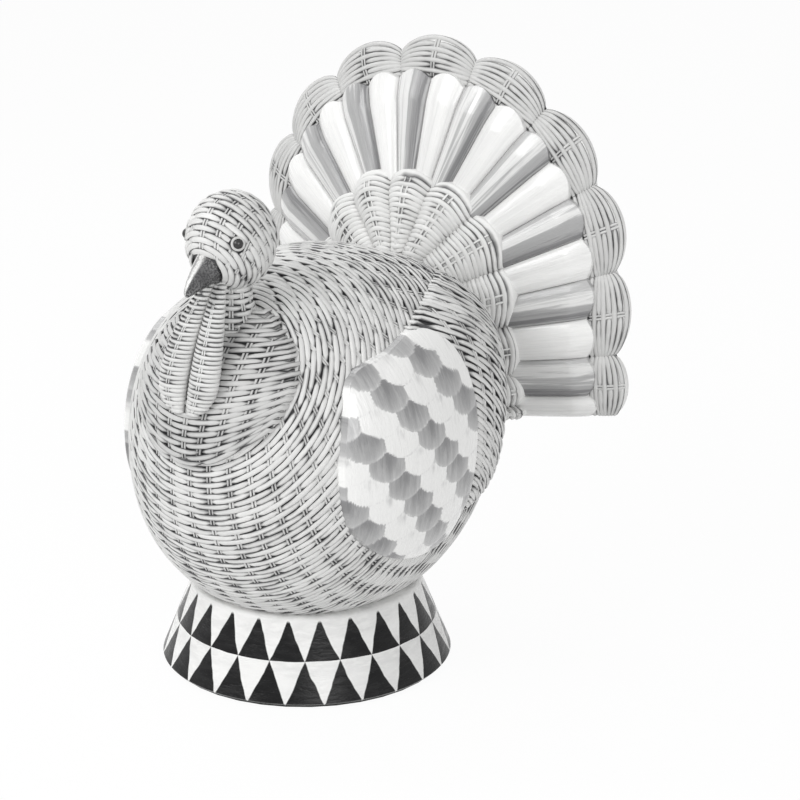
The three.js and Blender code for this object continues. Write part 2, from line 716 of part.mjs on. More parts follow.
// A puffed blade on the fan between two edge lines, from its root to its rounded end.
function blade({ from, to, root, end, bulge, edge, crown, shares, grow = 0 }) {
  const middle = (from + to) / 2;
  const half = (to - from) / 2;
  const rowGap = (SEAT_GAP / 2 - grow) / (FEATHER_STEP * FAN_RADIUS * 0.5);
  const sheet = (depth) =>
    shares.map((share) =>
      [-1, -0.62, 0, 0.62, 1].map((across) => {
        const k = middle + across * (half - rowGap);
        const stop = end(k) + bulge * (1 - across ** 2) + grow;
        const start = root(k);
        const round = share > 0.8 ? Math.sqrt(1 - (0.9 * (share - 0.8)) / 0.2) : 1;
        const puff = edge + (crown - edge) * Math.sqrt(1 - across ** 2);
        const lift = depth ?? SEAT_GAP + grow + puff * round;
        return fanPoint(k, start + (stop - start) * share, lift);
      }),
    );
  return leaf(sheet(), sheet(SEAT_GAP - grow * 4));
}

const covertEnd = (k) => lerp(-COVERT_TOP_DROP, -COVERT_SIDE_DROP, Math.abs(k) / fanEnd);

function covert(number, grow) {
  const place = (c) => fanEnd * Math.sin(((Math.PI / 2) * c) / (COVERTS_PER_SIDE + 0.5));
  return blade({
    from: place(number - 0.5),
    to: place(number + 0.5),
    root: (k) => covertEnd(k) - COVERT_LENGTH + (COVERT_TOP_DROP + covertEnd(k)),
    end: covertEnd,
    bulge: COVERT_END_BULGE,
    edge: COVERT_EDGE,
    crown: COVERT_CROWN,
    shares: [0, 0.8, 0.93, 1],
    grow,
  });
}

function makeFeathers() {
  const rooms = [];
  for (let number = -COVERTS_PER_SIDE; number <= COVERTS_PER_SIDE; number++) {
    const order = String(number + COVERTS_PER_SIDE + 1).padStart(2, "0");
    addPiece(`tail_covert_${order}`, covert(number, 0).subtract(bodySeat), wicker);
    rooms.push(covert(number, SEAT_GAP));
  }
  const coverts = rooms.reduce((all, room) => all.add(room));
  const ends = (k) => Math.sign(k) * Math.min(Math.abs(k), fanEnd);
  for (let number = -FEATHERS_PER_SIDE; number < FEATHERS_PER_SIDE; number++) {
    const feather = blade({
      from: ends(number),
      to: ends(number + 1),
      root: (k) => covertEnd(k) - COVERT_END_BULGE,
      end: () => 0,
      bulge: FEATHER_END_BULGE,
      edge: FEATHER_EDGE,
      crown: FEATHER_CROWN,
      shares: [0, 0.8, 0.94, 1],
    });
    const order = String(number + FEATHERS_PER_SIDE + 1).padStart(2, "0");
    const paint = number % 2 === 0 ? whitePaint : greyPaint;
    addPiece(`tail_feather_${order}`, feather.subtract(coverts), paint);
  }
}

makePedestal();
makeBolt();
makeBody();
makeHead();
makeWattles();
makeWings();
makeTailBack();
makeFeathers();

export default figure;
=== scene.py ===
"""Looks of the turkey figure: cast wicker strands, painted feathers and panels, a painted pedestal."""
import math

import bmesh
import bpy
import numpy as np
from bpy.props import FloatProperty, FloatVectorProperty, IntProperty, PointerProperty
from mathutils import Matrix, Vector


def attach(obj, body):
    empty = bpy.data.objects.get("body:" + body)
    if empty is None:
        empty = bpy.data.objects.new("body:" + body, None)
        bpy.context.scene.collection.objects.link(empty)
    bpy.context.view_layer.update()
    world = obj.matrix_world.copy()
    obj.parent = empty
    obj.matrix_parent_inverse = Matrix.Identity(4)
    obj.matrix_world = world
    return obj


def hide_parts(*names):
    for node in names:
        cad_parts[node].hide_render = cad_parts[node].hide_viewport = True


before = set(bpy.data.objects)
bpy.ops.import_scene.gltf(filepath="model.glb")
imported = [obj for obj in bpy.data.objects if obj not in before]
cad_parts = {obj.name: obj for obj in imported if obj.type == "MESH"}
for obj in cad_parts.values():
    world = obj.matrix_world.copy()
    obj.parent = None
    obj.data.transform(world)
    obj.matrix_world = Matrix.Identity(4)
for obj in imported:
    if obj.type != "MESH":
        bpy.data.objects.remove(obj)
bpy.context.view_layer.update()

bl_info = {
    "name": "Wicker turkey figure",
    "version": (1, 0, 0),
    "blender": (4, 5, 0),
    "location": "View3D > Sidebar > Turkey",
    "description": "Weaves and paints the turkey figure on its packed frame",
    "category": "Object",
}

MILLIMETRE = 0.001
TURN = 2 * math.pi
QUARTER = math.pi / 2

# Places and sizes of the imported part, in metres
SEAT_GAP = 0.0003
BODY_CENTRE = np.array([0.0, 0.0055, 0.128])
BODY_HALF_WIDTH = 0.091
BODY_HALF_HEIGHT = 0.1
BODY_FRONT_DEPTH = 0.1025
BODY_REAR_DEPTH = 0.099
BODY_BEYOND = 0.16
BODY_FRONT_SQUARENESS = 2.2
BODY_REAR_SQUARENESS = 2.8
BODY_POLE_TILT = math.radians(34)
HEAD_CENTRE = np.array([0.0, -0.0588, 0.251])
HEAD_SIZE = np.array([0.023, 0.0245, 0.026])
EYE_RADIUS = 0.0029
EYE_AZIMUTH = math.radians(49)
EYE_ELEVATION = math.radians(10)
EYE_SINK = 0.001
BEAK_LENGTH = 0.043
BEAK_PITCH = math.radians(29)
BEAK_HALF_WIDTH = 0.0098
BEAK_HALF_HEIGHT = 0.0116
BEAK_FORWARD = np.array([0, -math.cos(BEAK_PITCH), -math.sin(BEAK_PITCH)])
BEAK_UP = np.array([0, -math.sin(BEAK_PITCH), math.cos(BEAK_PITCH)])
NECK_PROFILE_Z = (0.194, 0.2072, 0.2204, 0.238)
NECK_PROFILE_R = (0.017, 0.01375, 0.0105, 0.0105)
WATTLE_TOP = (0.00015, -0.0735, 0.229)
WATTLE_LENGTH = 0.062
WATTLE_FORWARD = 0.025
WATTLE_SPREAD = 0.0017
WATTLE_HALF_WIDTH = 0.0086
WATTLE_HALF_DEPTH = 0.005
WATTLE_LEAST = 0.0002
WATTLE_WIDEST = 0.72
WATTLE_FOOT = 0.29
WATTLE_TOP_SWELL = 0.42
FAN_RADIUS = 0.107
FAN_CENTRE_Z = 0.2
FAN_HUB_Y = 0.093
FAN_DISH = 0.25
FAN_THICKNESS = 0.005
FEATHERS_PER_SIDE = 11
FEATHER_STEP = math.radians(12.26)
FEATHER_WIDTH = 0.0235
FEATHER_TUCK = 0.0055
FEATHER_END = -0.001
FAN_END = 10.56
LAST_NOTCH = 9
FAN_LOWEST_LEAN = math.radians(82)
TIP_START = 0.0043
TIP_REACH = 0.0232
TIP_NOTCH = 0.0127
TIP_CROWN = 0.004
TIP_EDGE = 0.002
TIP_SINK = 0.55
TIP_LIMIT = 0.99
COVERTS_PER_SIDE = 6
COVERT_LENGTH = 0.042
COVERT_TUCK = 0.008
COVERT_TOP_DROP = 0.054
COVERT_SIDE_DROP = 0.04
COVERT_SHORT = 0.0015
BASE_FOOT_Z = 0.0018
BASE_FOOT_RADIUS = 0.0809
BASE_INNER_RADIUS = 0.0775
BASE_RIM_RADIUS = 0.0635
BASE_HEIGHT = 0.046
BASE_RIM_ROUND = 0.003
DECK_Z = 0.0405

# Outlines on the middle plane in millimetres: the bib from the front, the wing and its panel from the side
BIB_HALF = [(0, 139), (27, 146), (42, 160), (48, 178), (44, 194), (31, 206), (14, 214)]
WING_LOOP = [
    (-30, 186), (8, 203), (46, 214), (67, 210), (78, 192), (74, 150),
    (70, 118), (54, 103), (20, 98), (-20, 106), (-44, 142),
]
WING_PEAK = (50, 192)
PANEL_LOOP = [
    (-45, 187), (-20, 194.5), (5, 201), (16, 194), (21.5, 178), (23.5, 155), (23, 131), (21, 110),
    (18, 93), (7, 82.5), (-16, 80.5), (-41, 90), (-58, 109), (-62.5, 138), (-56, 167),
]

# A strand: points between two stakes, turns of the points round its section, width and height to its
# radius. A stake is a pair of rods.
POINTS_PER_STAKE = 6
SECTION = np.radians([90, 38, -8, -90, 188, 142])
STRAND_WIDE = 1.02
STRAND_FLAT = 0.66
ROD_PAIR = (-0.5, 0.5)
ROD_HEIGHT = 0.0002

# How far the dark inside lies below the weave's middle, and its place from 0 to 1 in the grey wash and
# painted shade
GROUND_DROP = 0.0004
GROUND_LIFT = 0.34


class WickerSettings(bpy.types.PropertyGroup):
    """Sizes and colours of the cast wicker."""

    strand_radius: FloatProperty(
        name="Strand radius", description="Half the thickness of a strand on the body",
        default=0.0015, min=0.0003, unit="LENGTH")
    course_pitch: FloatProperty(
        name="Course pitch", description="Distance between two courses on the body",
        default=0.00295, min=0.001, unit="LENGTH")
    wave_height: FloatProperty(
        name="Wave height", description="How far a strand swings in front of and behind the stakes",
        default=0.00075, min=0.0, unit="LENGTH")
    stake_radius: FloatProperty(
        name="Stake radius", description="Half the thickness of one rod of a stake pair",
        default=0.0008, min=0.0003, unit="LENGTH")
    stake_pair_gap: FloatProperty(
        name="Stake pair gap", description="Distance between the two rods of a stake",
        default=0.0019, min=0.0, unit="LENGTH")
    stand_proud: FloatProperty(
        name="Stand proud", description="How far the strands stand out of the solid's skin",
        default=0.0006, min=0.0, unit="LENGTH")
    colour: FloatVectorProperty(
        name="Wicker colour", description="Paint on the strands",
        subtype="COLOR", size=3, min=0.0, max=1.0, default=(0.8, 0.8, 0.79))
    # Grey of the wash in the gaps, which is also painted shade low in the weave
    wash_and_shade_colour: FloatVectorProperty(
        name="Wash colour", description="Grey wash that stays in the gaps of the weave",
        subtype="COLOR", size=3, min=0.0, max=1.0, default=(0.05, 0.05, 0.052))
    seed: IntProperty(
        name="Seed", description="Start of the small differences between strands", default=11, min=0)


class PaintSettings(bpy.types.PropertyGroup):
    """Colours of the hand-painted parts."""

    white: FloatVectorProperty(
        name="White", description="White of feathers, panels and pedestal",
        subtype="COLOR", size=3, min=0.0, max=1.0, default=(0.84, 0.84, 0.83))
    # On the grey feathers this pale side is partly painted light.
    pale_grey: FloatVectorProperty(
        name="Pale grey", description="Lightest stroke on the grey feathers",
        subtype="COLOR", size=3, min=0.0, max=1.0, default=(0.46, 0.46, 0.46))
    # On the grey feathers this darkest stroke is painted shade; on the panels it is the grey scallops' own
    # colour.
    dark_grey: FloatVectorProperty(
        name="Dark grey", description="Darkest stroke on the grey feathers",
        subtype="COLOR", size=3, min=0.0, max=1.0, default=(0.18, 0.18, 0.184))
    black: FloatVectorProperty(
        name="Black", description="Black of the pedestal's border",
        subtype="COLOR", size=3, min=0.0, max=1.0, default=(0.006, 0.006, 0.0065))
    beak: FloatVectorProperty(
        name="Beak", description="Dark of the beak",
        subtype="COLOR", size=3, min=0.0, max=1.0, default=(0.045, 0.045, 0.047))
    border_points: IntProperty(
        name="Border points", description="Points of the sawtooth border round the pedestal",
        default=24, min=6)
    scallop_width: FloatProperty(
        name="Scallop width", description="Width of one painted scallop on the wing panels",
        default=0.019, min=0.005, unit="LENGTH")


class StageSettings(bpy.types.PropertyGroup):
    """Camera and studio light."""

    camera_place: FloatVectorProperty(
        name="Camera place", description="Where the camera stands",
        subtype="TRANSLATION", size=3, default=(0.856, -1.066, 0.607))
    camera_target: FloatVectorProperty(
        name="Camera target", description="Point in the middle of the picture",
        subtype="TRANSLATION", size=3, default=(0.06515, 0.0, 0.16083))
    lens: FloatProperty(
        name="Lens", description="Focal length of the camera in millimetres",
        default=118.585, min=10.0, unit="CAMERA")
    key_power: FloatProperty(
        name="Key light", description="Power of the large lamp at the front",
        default=13.2, min=0.0, unit="POWER")
    fill_power: FloatProperty(
        name="Fill light", description="Power of the lamp beside the camera",
        default=9.0, min=0.0, unit="POWER")
    top_power: FloatProperty(
        name="Top light", description="Power of the lamp above the tail",
        default=6.8, min=0.0, unit="POWER")
    ambient: FloatProperty(
        name="Ambient", description="Strength of the even light from all round", default=0.45, min=0.0)


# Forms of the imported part


def unit(vectors):
    """Vectors at length one."""
    return vectors / np.linalg.norm(vectors, axis=-1, keepdims=True)


def ease(value, low, high):
    """Smooth step from 0 at low to 1 at high."""
    share = np.clip((value - low) / (high - low), 0, 1)
    return share * share * (3 - 2 * share)


def dome_share(share):
    """Height of a dome from 1 in its middle to 0 at its rim."""
    return np.sqrt(np.clip(1 - share ** 2, 0, 1))


def body_reach(way):
    """Distance from the body's centre to its skin."""
    depth = np.where(way[:, 1] < 0, BODY_FRONT_DEPTH, BODY_REAR_DEPTH)
    rump = ease(way[:, 1], -0.2, 0.6) * ease(way[:, 2], -0.7, 0.5)
    power = BODY_FRONT_SQUARENESS + (BODY_REAR_SQUARENESS - BODY_FRONT_SQUARENESS) * rump
    level = np.abs(way[:, 0] / BODY_HALF_WIDTH) ** power
    level += np.abs(way[:, 1] / depth) ** power
    level += np.abs(way[:, 2] / BODY_HALF_HEIGHT) ** power
    return level ** (-1 / power)


def head_reach(way):
    """Distance from the head's centre to its skin."""
    return 1 / np.linalg.norm(way / HEAD_SIZE, axis=-1)


def skin_along(start, axis):
    """Distance from points inside the body to its skin along one axis, by halving."""
    near = np.zeros(len(start))
    far = np.full(len(start), BODY_BEYOND)
    for _ in range(30):
        middle = (near + far) / 2
        offset = start + np.outer(middle, axis) - BODY_CENTRE
        length = np.linalg.norm(offset, axis=1)
        inside = length < body_reach(offset / length[:, None])
        near = np.where(inside, middle, near)
        far = np.where(inside, far, middle)
    return near


def closed_curve(loop, steps=12):
    """A closed smooth curve through the loop's points."""
    points = np.array(loop) * MILLIMETRE
    before = np.roll(points, 1, axis=0)
    after = np.roll(points, -1, axis=0)
    beyond = np.roll(points, -2, axis=0)
    rows = []
    for step in range(steps):
        t = step / steps
        bend = 2 * points + (after - before) * t
        bend += (2 * before - 5 * points + 4 * after - beyond) * t ** 2
        bend += (3 * points - before - 3 * after + beyond) * t ** 3
        rows.append(bend / 2)
    return np.stack(rows, axis=1).reshape(-1, 2)


class Shield:
    """A raised plate on the body, known by its outline on the middle plane and its stand off the skin."""

    RIM_STEPS = ((0.0008, 0.001), (0.001, 0.0048))
    SLOPE_STEP = 0.0008
    GROUND_FACE = 0.9
    GROUND_SHARE = 0.985
    GROUND_WALL = 0.006

    def __init__(self, loop, axis, edge, crown, peak=None, least=None):
        rim = closed_curve(loop)
        self.axis = np.array(axis, dtype=float)
        self.across = 1 if self.axis[0] else 0
        self.edge = edge
        self.crown = crown
        self.least = least
        self.middle = (rim.min(axis=0) + rim.max(axis=0)) / 2
        if peak:
            self.middle = np.array(peak) * MILLIMETRE
        offset = rim - self.middle
        turns = np.arctan2(offset[:, 1], offset[:, 0])
        order = np.argsort(turns)
        self.turns = turns[order]
        self.reach = np.hypot(offset[:, 0], offset[:, 1])[order]

    def rim_at(self, turn):
        """Distance from the middle to the rim at a turn."""
        return np.interp(turn, self.turns, self.reach, period=TURN)

    def share(self, u, v):
        """How far a point is on the way from the middle to the rim."""
        du = u - self.middle[0]
        dv = v - self.middle[1]
        return np.hypot(du, dv) / self.rim_at(np.arctan2(dv, du))

    def spread(self, round_share, share):
        """Places on the middle plane by share of a whole turn and share of the way to the rim."""
        turn = round_share * TURN
        reach = self.rim_at(turn) * share
        return self.middle[0] + reach * np.cos(turn), self.middle[1] + reach * np.sin(turn)

    def stand(self, share):
        """Height of the dome over the body's skin."""
        return self.edge + (self.crown - self.edge) * dome_share(share)

    def place(self, u, v, stand):
        """Points over the skin that stand off it by the given height."""
        flat = np.zeros((len(u), 3))
        flat[:, 1] = BODY_CENTRE[1]
        flat[:, self.across] = u
        flat[:, 2] = v
        return flat + np.outer(skin_along(flat, self.axis) + stand, self.axis)

    def height(self, u, v):
        """Height over the body's skin, that passes softly into a higher shield's."""
        own = self.stand(self.share(u, v))
        if self.least is None:
            return own
        other = self.least.stand(self.least.share(u, v))
        return (own ** 10 + other ** 10) ** 0.1

    def dome(self, u, v, inset=0.0):
        """Points on the dome, or below it by inset."""
        return self.place(u, v, self.height(u, v) - inset)

    def ground(self, round_share, share, inset, sunk=None):
        """Points of a dark inside: the dome below by inset, then a wall down from its rim."""
        on_dome = np.minimum(share / self.GROUND_FACE, 1)
        wall = np.clip((share - self.GROUND_FACE) / (1 - self.GROUND_FACE), 0, 1)
        u, v = self.spread(round_share, on_dome * self.GROUND_SHARE)
        stand = self.stand(on_dome) - inset - self.GROUND_WALL * wall
        if sunk:
            stand = stand - sunk(u, v)
        return self.place(u, v, stand)

    def rows(self, u, low, high, pitch):
        """Levels between two heights whose courses lie at even distances along the dome."""
        rise = np.linspace(low, high, 300)
        steps = np.linalg.norm(np.diff(self.dome(np.full(len(rise), u), rise), axis=0), axis=1)
        length = np.concatenate([[0], np.cumsum(steps)])
        return np.interp(np.arange(0, length[-1], pitch), length, rise)

    def over_rim(self, u, v, stakes, depth, ends=(0, -1)):
        """A line on the dome whose ends turn down over the rim: points, directions, places in stakes."""
        points = self.dome(u, v, depth)
        normals = self.normal(u, v)
        for spot in ends:
            out = np.zeros(3)
            out[self.across] = u[spot] - self.middle[0]
            out[2] = v[spot] - self.middle[1]
            out = unit(out)
            turned = [points[spot] + past * out - down * self.axis for past, down in self.RIM_STEPS]
            ways = [unit(out + normals[spot]), out]
            if spot == 0:
                points = np.vstack([turned[::-1], points])
                normals = np.vstack([ways[::-1], normals])
                stakes = np.concatenate([stakes[:1], stakes[:1], stakes])
            else:
                points = np.vstack([points, turned])
                normals = np.vstack([normals, ways])
                stakes = np.concatenate([stakes, stakes[-1:], stakes[-1:]])
        return points, normals, stakes

    def normal(self, u, v):
        """Outward directions of the dome."""
        inner = np.clip(0.97 / np.maximum(self.share(u, v), 1e-6), 0, 1)
        u = self.middle[0] + (u - self.middle[0]) * inner
        v = self.middle[1] + (v - self.middle[1]) * inner
        along_u = self.dome(u + self.SLOPE_STEP, v) - self.dome(u - self.SLOPE_STEP, v)
        along_v = self.dome(u, v + self.SLOPE_STEP) - self.dome(u, v - self.SLOPE_STEP)
        normal = unit(np.cross(along_u, along_v))
        return normal * np.sign((normal * self.axis).sum(axis=1, keepdims=True))


BIB = Shield(BIB_HALF + [(-x, z) for x, z in BIB_HALF[:0:-1]], (0, -1, 0), 0.003, 0.007)
WING = Shield(WING_LOOP, (1, 0, 0), 0.0035, 0.01, peak=WING_PEAK)
PANEL = Shield(PANEL_LOOP, (1, 0, 0), 0.0035, 0.007, least=WING)


def edge_line(k):
    """Start and direction of the fan's edge line number k."""
    side = np.where(k < 0, -1.0, 1.0)
    turn = np.abs(k) * FEATHER_STEP
    arc = np.minimum(turn, QUARTER)
    lean = FAN_LOWEST_LEAN * np.sin(QUARTER * np.abs(k) / FAN_END)
    x = side * FAN_RADIUS * np.sin(arc)
    z = FAN_CENTRE_Z + FAN_RADIUS * (np.cos(arc) - (turn - arc))
    return x, z, side * np.sin(lean), np.cos(lean)


def plate_point(x, z, lift):
    """Points at a lift over the front of the dished fan plate."""
    y = FAN_HUB_Y + FAN_DISH * np.hypot(x, z - FAN_CENTRE_Z) - lift
    return np.stack([x, y, z], axis=-1)


def fan_point(k, along, lift):
    """Points on the fan by edge line, distance past the feather ends and lift."""
    x, z, dx, dz = edge_line(k)
    return plate_point(x + along * dx, z + along * dz, lift)


def fan_normal(points):
    """Directions off the front of the fan plate."""
    x = points[:, 0]
    z = points[:, 2] - FAN_CENTRE_Z
    radius = np.maximum(np.hypot(x, z), 1e-6)
    return unit(np.stack([FAN_DISH * x / radius, -np.ones(len(x)), FAN_DISH * z / radius], axis=-1))


def tip_at(k):
    """Swell and reach of the scalloped tips at edge line k."""
    last = np.abs(k) > LAST_NOTCH
    middle = np.where(last, (LAST_NOTCH + FAN_END) / 2, 2 * np.floor(np.abs(k) / 2 + 0.5))
    half = np.where(last, (FAN_END - LAST_NOTCH) / 2, 1.0)
    across = (np.abs(k) - middle) / half
    swell = np.clip(1 - across ** 2, 0, 1) ** 0.7
    return swell, TIP_NOTCH + (TIP_REACH - TIP_NOTCH) * swell * half


def tip_share(along, reach):
    """How far a place is on the way from a tip's start to its edge."""
    return (along - TIP_START) / (reach - TIP_START)


def tip_half_depth(share):
    """Half the depth of a tip's plain plate."""
    return TIP_EDGE / 2 + (FAN_THICKNESS - TIP_EDGE) / 2 * dome_share(share)


def tip_front(share, swell):
    """Lift of a tip's woven front, which sinks under the feather ends."""
    at = np.clip(share, 0, TIP_LIMIT)
    lift = tip_half_depth(at) + TIP_CROWN * dome_share(at) * swell - FAN_THICKNESS / 2
    return lift - TIP_CROWN * swell * TIP_SINK * (1 - ease(share, -0.3, 0.35))


def tip_back(share):
    """Lift of the back of a tip."""
    return -tip_half_depth(share) - FAN_THICKNESS / 2


def covert_end(k):
    """Distance from the feather ends to the coverts' ends."""
    return -COVERT_TOP_DROP + (COVERT_TOP_DROP - COVERT_SIDE_DROP) * np.abs(k) / FAN_END


def covert_root(k):
    """Distance from the feather ends to the coverts' roots."""
    return 2 * covert_end(k) - COVERT_LENGTH - COVERT_TUCK + COVERT_TOP_DROP


class Blade:
    """A puffed blade on the fan between two edge lines."""

    SIDE_GAP = 0.0005

    def __init__(self, first, last, root, end, bulge, edge, crown, blunt):
        self.middle = (first + last) / 2
        self.half = (last - first) / 2 - self.SIDE_GAP
        self.root = root
        self.end = end
        self.bulge = bulge
        self.edge = edge
        self.crown = crown
        self.blunt = blunt

    def place(self, across, share, inset=0.0):
        """Points of the blade's front, from side to side and from root to end."""
        k = self.middle + across * self.half
        stop = self.end(k) + self.bulge * (1 - across ** 2)
        start = self.root(k)
        puff = self.edge + (self.crown - self.edge) * dome_share(across)
        round_off = np.sqrt(1 - self.blunt * np.clip((share - 0.8) / 0.2, 0, 1))
        lift = np.maximum(SEAT_GAP + puff * round_off - inset, SEAT_GAP)
        return fan_point(k, start + (stop - start) * share, lift)


def covert_blade(number):
    """The blade of one covert, counted from the middle."""
    def line(count):
        return FAN_END * math.sin(QUARTER * count / (COVERTS_PER_SIDE + 0.5))
    return Blade(
        line(number - 0.5), line(number + 0.5), covert_root, lambda k: covert_end(k) - COVERT_SHORT,
        bulge=0.006, edge=0.0085, crown=0.0138, blunt=0.6)


def feather_blade(number):
    """The blade of one painted feather, counted from the middle."""
    return Blade(
        max(number, -FAN_END), min(number + 1, FAN_END),
        lambda k: covert_end(k) - FEATHER_TUCK, lambda k: FEATHER_END,
        bulge=0.0055, edge=0.0035, crown=0.0075, blunt=0.72)


def wattle_point(side, share, turn, inset=0.0):
    """Points round one hanging lobe of the wattle."""
    hang = np.sin(np.clip(share / WATTLE_WIDEST, 0, 1) * QUARTER)
    foot = dome_share((share - WATTLE_WIDEST) / WATTLE_FOOT)
    swell = np.where(share < WATTLE_WIDEST, WATTLE_TOP_SWELL + (1 - WATTLE_TOP_SWELL) * hang, foot)
    half_width = np.maximum(WATTLE_HALF_WIDTH * swell - inset, WATTLE_LEAST)
    half_depth = np.maximum(WATTLE_HALF_DEPTH * swell - inset, WATTLE_LEAST)
    inner = WATTLE_TOP[0] + WATTLE_SPREAD * np.sqrt(np.maximum(share, 0))
    x = inner + WATTLE_HALF_WIDTH * swell + half_width * np.cos(turn)
    y = WATTLE_TOP[1] - WATTLE_FORWARD * share * (1.6 - 0.6 * share) + half_depth * np.sin(turn)
    z = WATTLE_TOP[2] - WATTLE_LENGTH * share
    return np.stack([side * x, y, z], axis=-1)


def neck_point(turn, z, inset=0.0):
    """Points round the neck, and their outward directions."""
    out = np.stack([np.sin(turn), -np.cos(turn), np.zeros(len(turn))], axis=-1)
    radius = np.interp(z, NECK_PROFILE_Z, NECK_PROFILE_R) - inset
    points = out * radius[:, None]
    points[:, 1] += HEAD_CENTRE[1]
    points[:, 2] = z
    return points, out


def eye_look(side):
    """Direction from the head's centre through one eye."""
    return np.array([
        side * math.sin(EYE_AZIMUTH) * math.cos(EYE_ELEVATION),
        -math.cos(EYE_AZIMUTH) * math.cos(EYE_ELEVATION),
        math.sin(EYE_ELEVATION),
    ])


def eye_place(side):
    """Centre of one eye bead."""
    look = eye_look(side)
    return HEAD_CENTRE + look * (head_reach(look) - EYE_SINK)


# Meshes


def mapped_grid(columns, rows, place, lift=None, paint=None):
    """A grid whose shares from 0 to 1 are moved to the points that place gives.

    Its UVs are the shares, or what paint makes of shares and points. Lift is a number or a function.
    """
    bm = bmesh.new()
    bmesh.ops.create_grid(bm, x_segments=columns, y_segments=rows, size=0.5)
    shares = np.array([vert.co[:2] for vert in bm.verts]) + 0.5
    u = shares[:, 0]
    v = shares[:, 1]
    points = place(u, v)
    for vert, point in zip(bm.verts, points):
        vert.co = point
    uvs = paint(shares, points) if paint else shares
    layer = bm.loops.layers.uv.new("paint")
    for face in bm.faces:
        for loop in face.loops:
            loop[layer].uv = uvs[loop.vert.index]
    if lift is not None:
        lifts = lift(u, v) if callable(lift) else np.full(len(u), lift)
        layer = bm.verts.layers.float.new("lift")
        for vert, value in zip(bm.verts, lifts):
            vert[layer] = value
    return bm


def close(bm):
    """Merges doubles, fills open rims and turns the faces outwards."""
    bmesh.ops.remove_doubles(bm, verts=bm.verts, dist=1e-6)
    rims = [edge for edge in bm.edges if edge.is_boundary]
    if rims:
        bmesh.ops.holes_fill(bm, edges=rims, sides=0)
    bmesh.ops.recalc_face_normals(bm, faces=bm.faces)


def closed_grid(columns, rows, place, lift=None, paint=None):
    """A mapped grid with its seams and poles closed."""
    bm = mapped_grid(columns, rows, place, lift, paint)
    close(bm)
    return bm


def blade_grid(place, lift=None, paint=None):
    """A blade's front as a closed grid, with walls from its rim down to the fan plate."""
    bm = mapped_grid(16, 24, place, lift, paint)
    rims = [edge for edge in bm.edges if edge.is_boundary]
    wall = bmesh.ops.extrude_edge_only(bm, edges=rims)
    for item in wall["geom"]:
        if isinstance(item, bmesh.types.BMVert):
            spread = math.hypot(item.co.x, item.co.z - FAN_CENTRE_Z)
            item.co.y = FAN_HUB_Y + FAN_DISH * spread - SEAT_GAP
    close(bm)
    return bm


def mesh_of(bm, name, sharp=math.radians(50)):
    """A mesh with smooth faces and sharp edges past an angle."""
    for face in bm.faces:
        face.smooth = True
    for edge in bm.edges:
        if len(edge.link_faces) == 2 and edge.calc_face_angle() > sharp:
            edge.smooth = False
    mesh = bpy.data.meshes.new(name)
    bm.to_mesh(mesh)
    bm.free()
    return mesh


def merge(bm, other):
    """Adds one set of faces to another."""
    sheet = mesh_of(other, "sheet")
    bm.from_mesh(sheet)
    bpy.data.meshes.remove(sheet)


def mirrored_copy(mesh, name):
    """The same piece for the other side."""
    bm = bmesh.new()
    bm.from_mesh(mesh)
    bmesh.ops.scale(bm, vec=(-1, 1, 1), verts=bm.verts)
    bmesh.ops.reverse_faces(bm, faces=bm.faces)
    return mesh_of(bm, name)


def spin_round(bm, geom, steps):
    """Turns a section once round the upright axis."""
    bmesh.ops.spin(
        bm, geom=geom, cent=(0, 0, 0), axis=(0, 0, 1), angle=TURN, steps=steps, use_merge=True)


def add_piece(name, mesh, material, slot, *nodes):
    """Puts a finished mesh on the body and hides the nodes that it stands for."""
    piece = bpy.data.objects.new(name, mesh)
    bpy.context.scene.collection.objects.link(piece)
    mesh.materials.clear()
    mesh.materials.append(material)
    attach(piece, "root")
    if nodes:
        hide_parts(*nodes)


def runs_of(shown, closed=False):
    """Runs of neighbouring points that show, as lists of their places in the line."""
    places = np.arange(len(shown))
    if shown.all():
        return [places]
    if closed:
        places = np.roll(places, -int(np.argmin(shown)))
    kept = places[shown[places]]
    order = (kept - places[0]) % len(shown) if closed else kept
    breaks = np.flatnonzero(np.diff(order) != 1) + 1
    return [run for run in np.split(kept, breaks) if len(run) > 1]


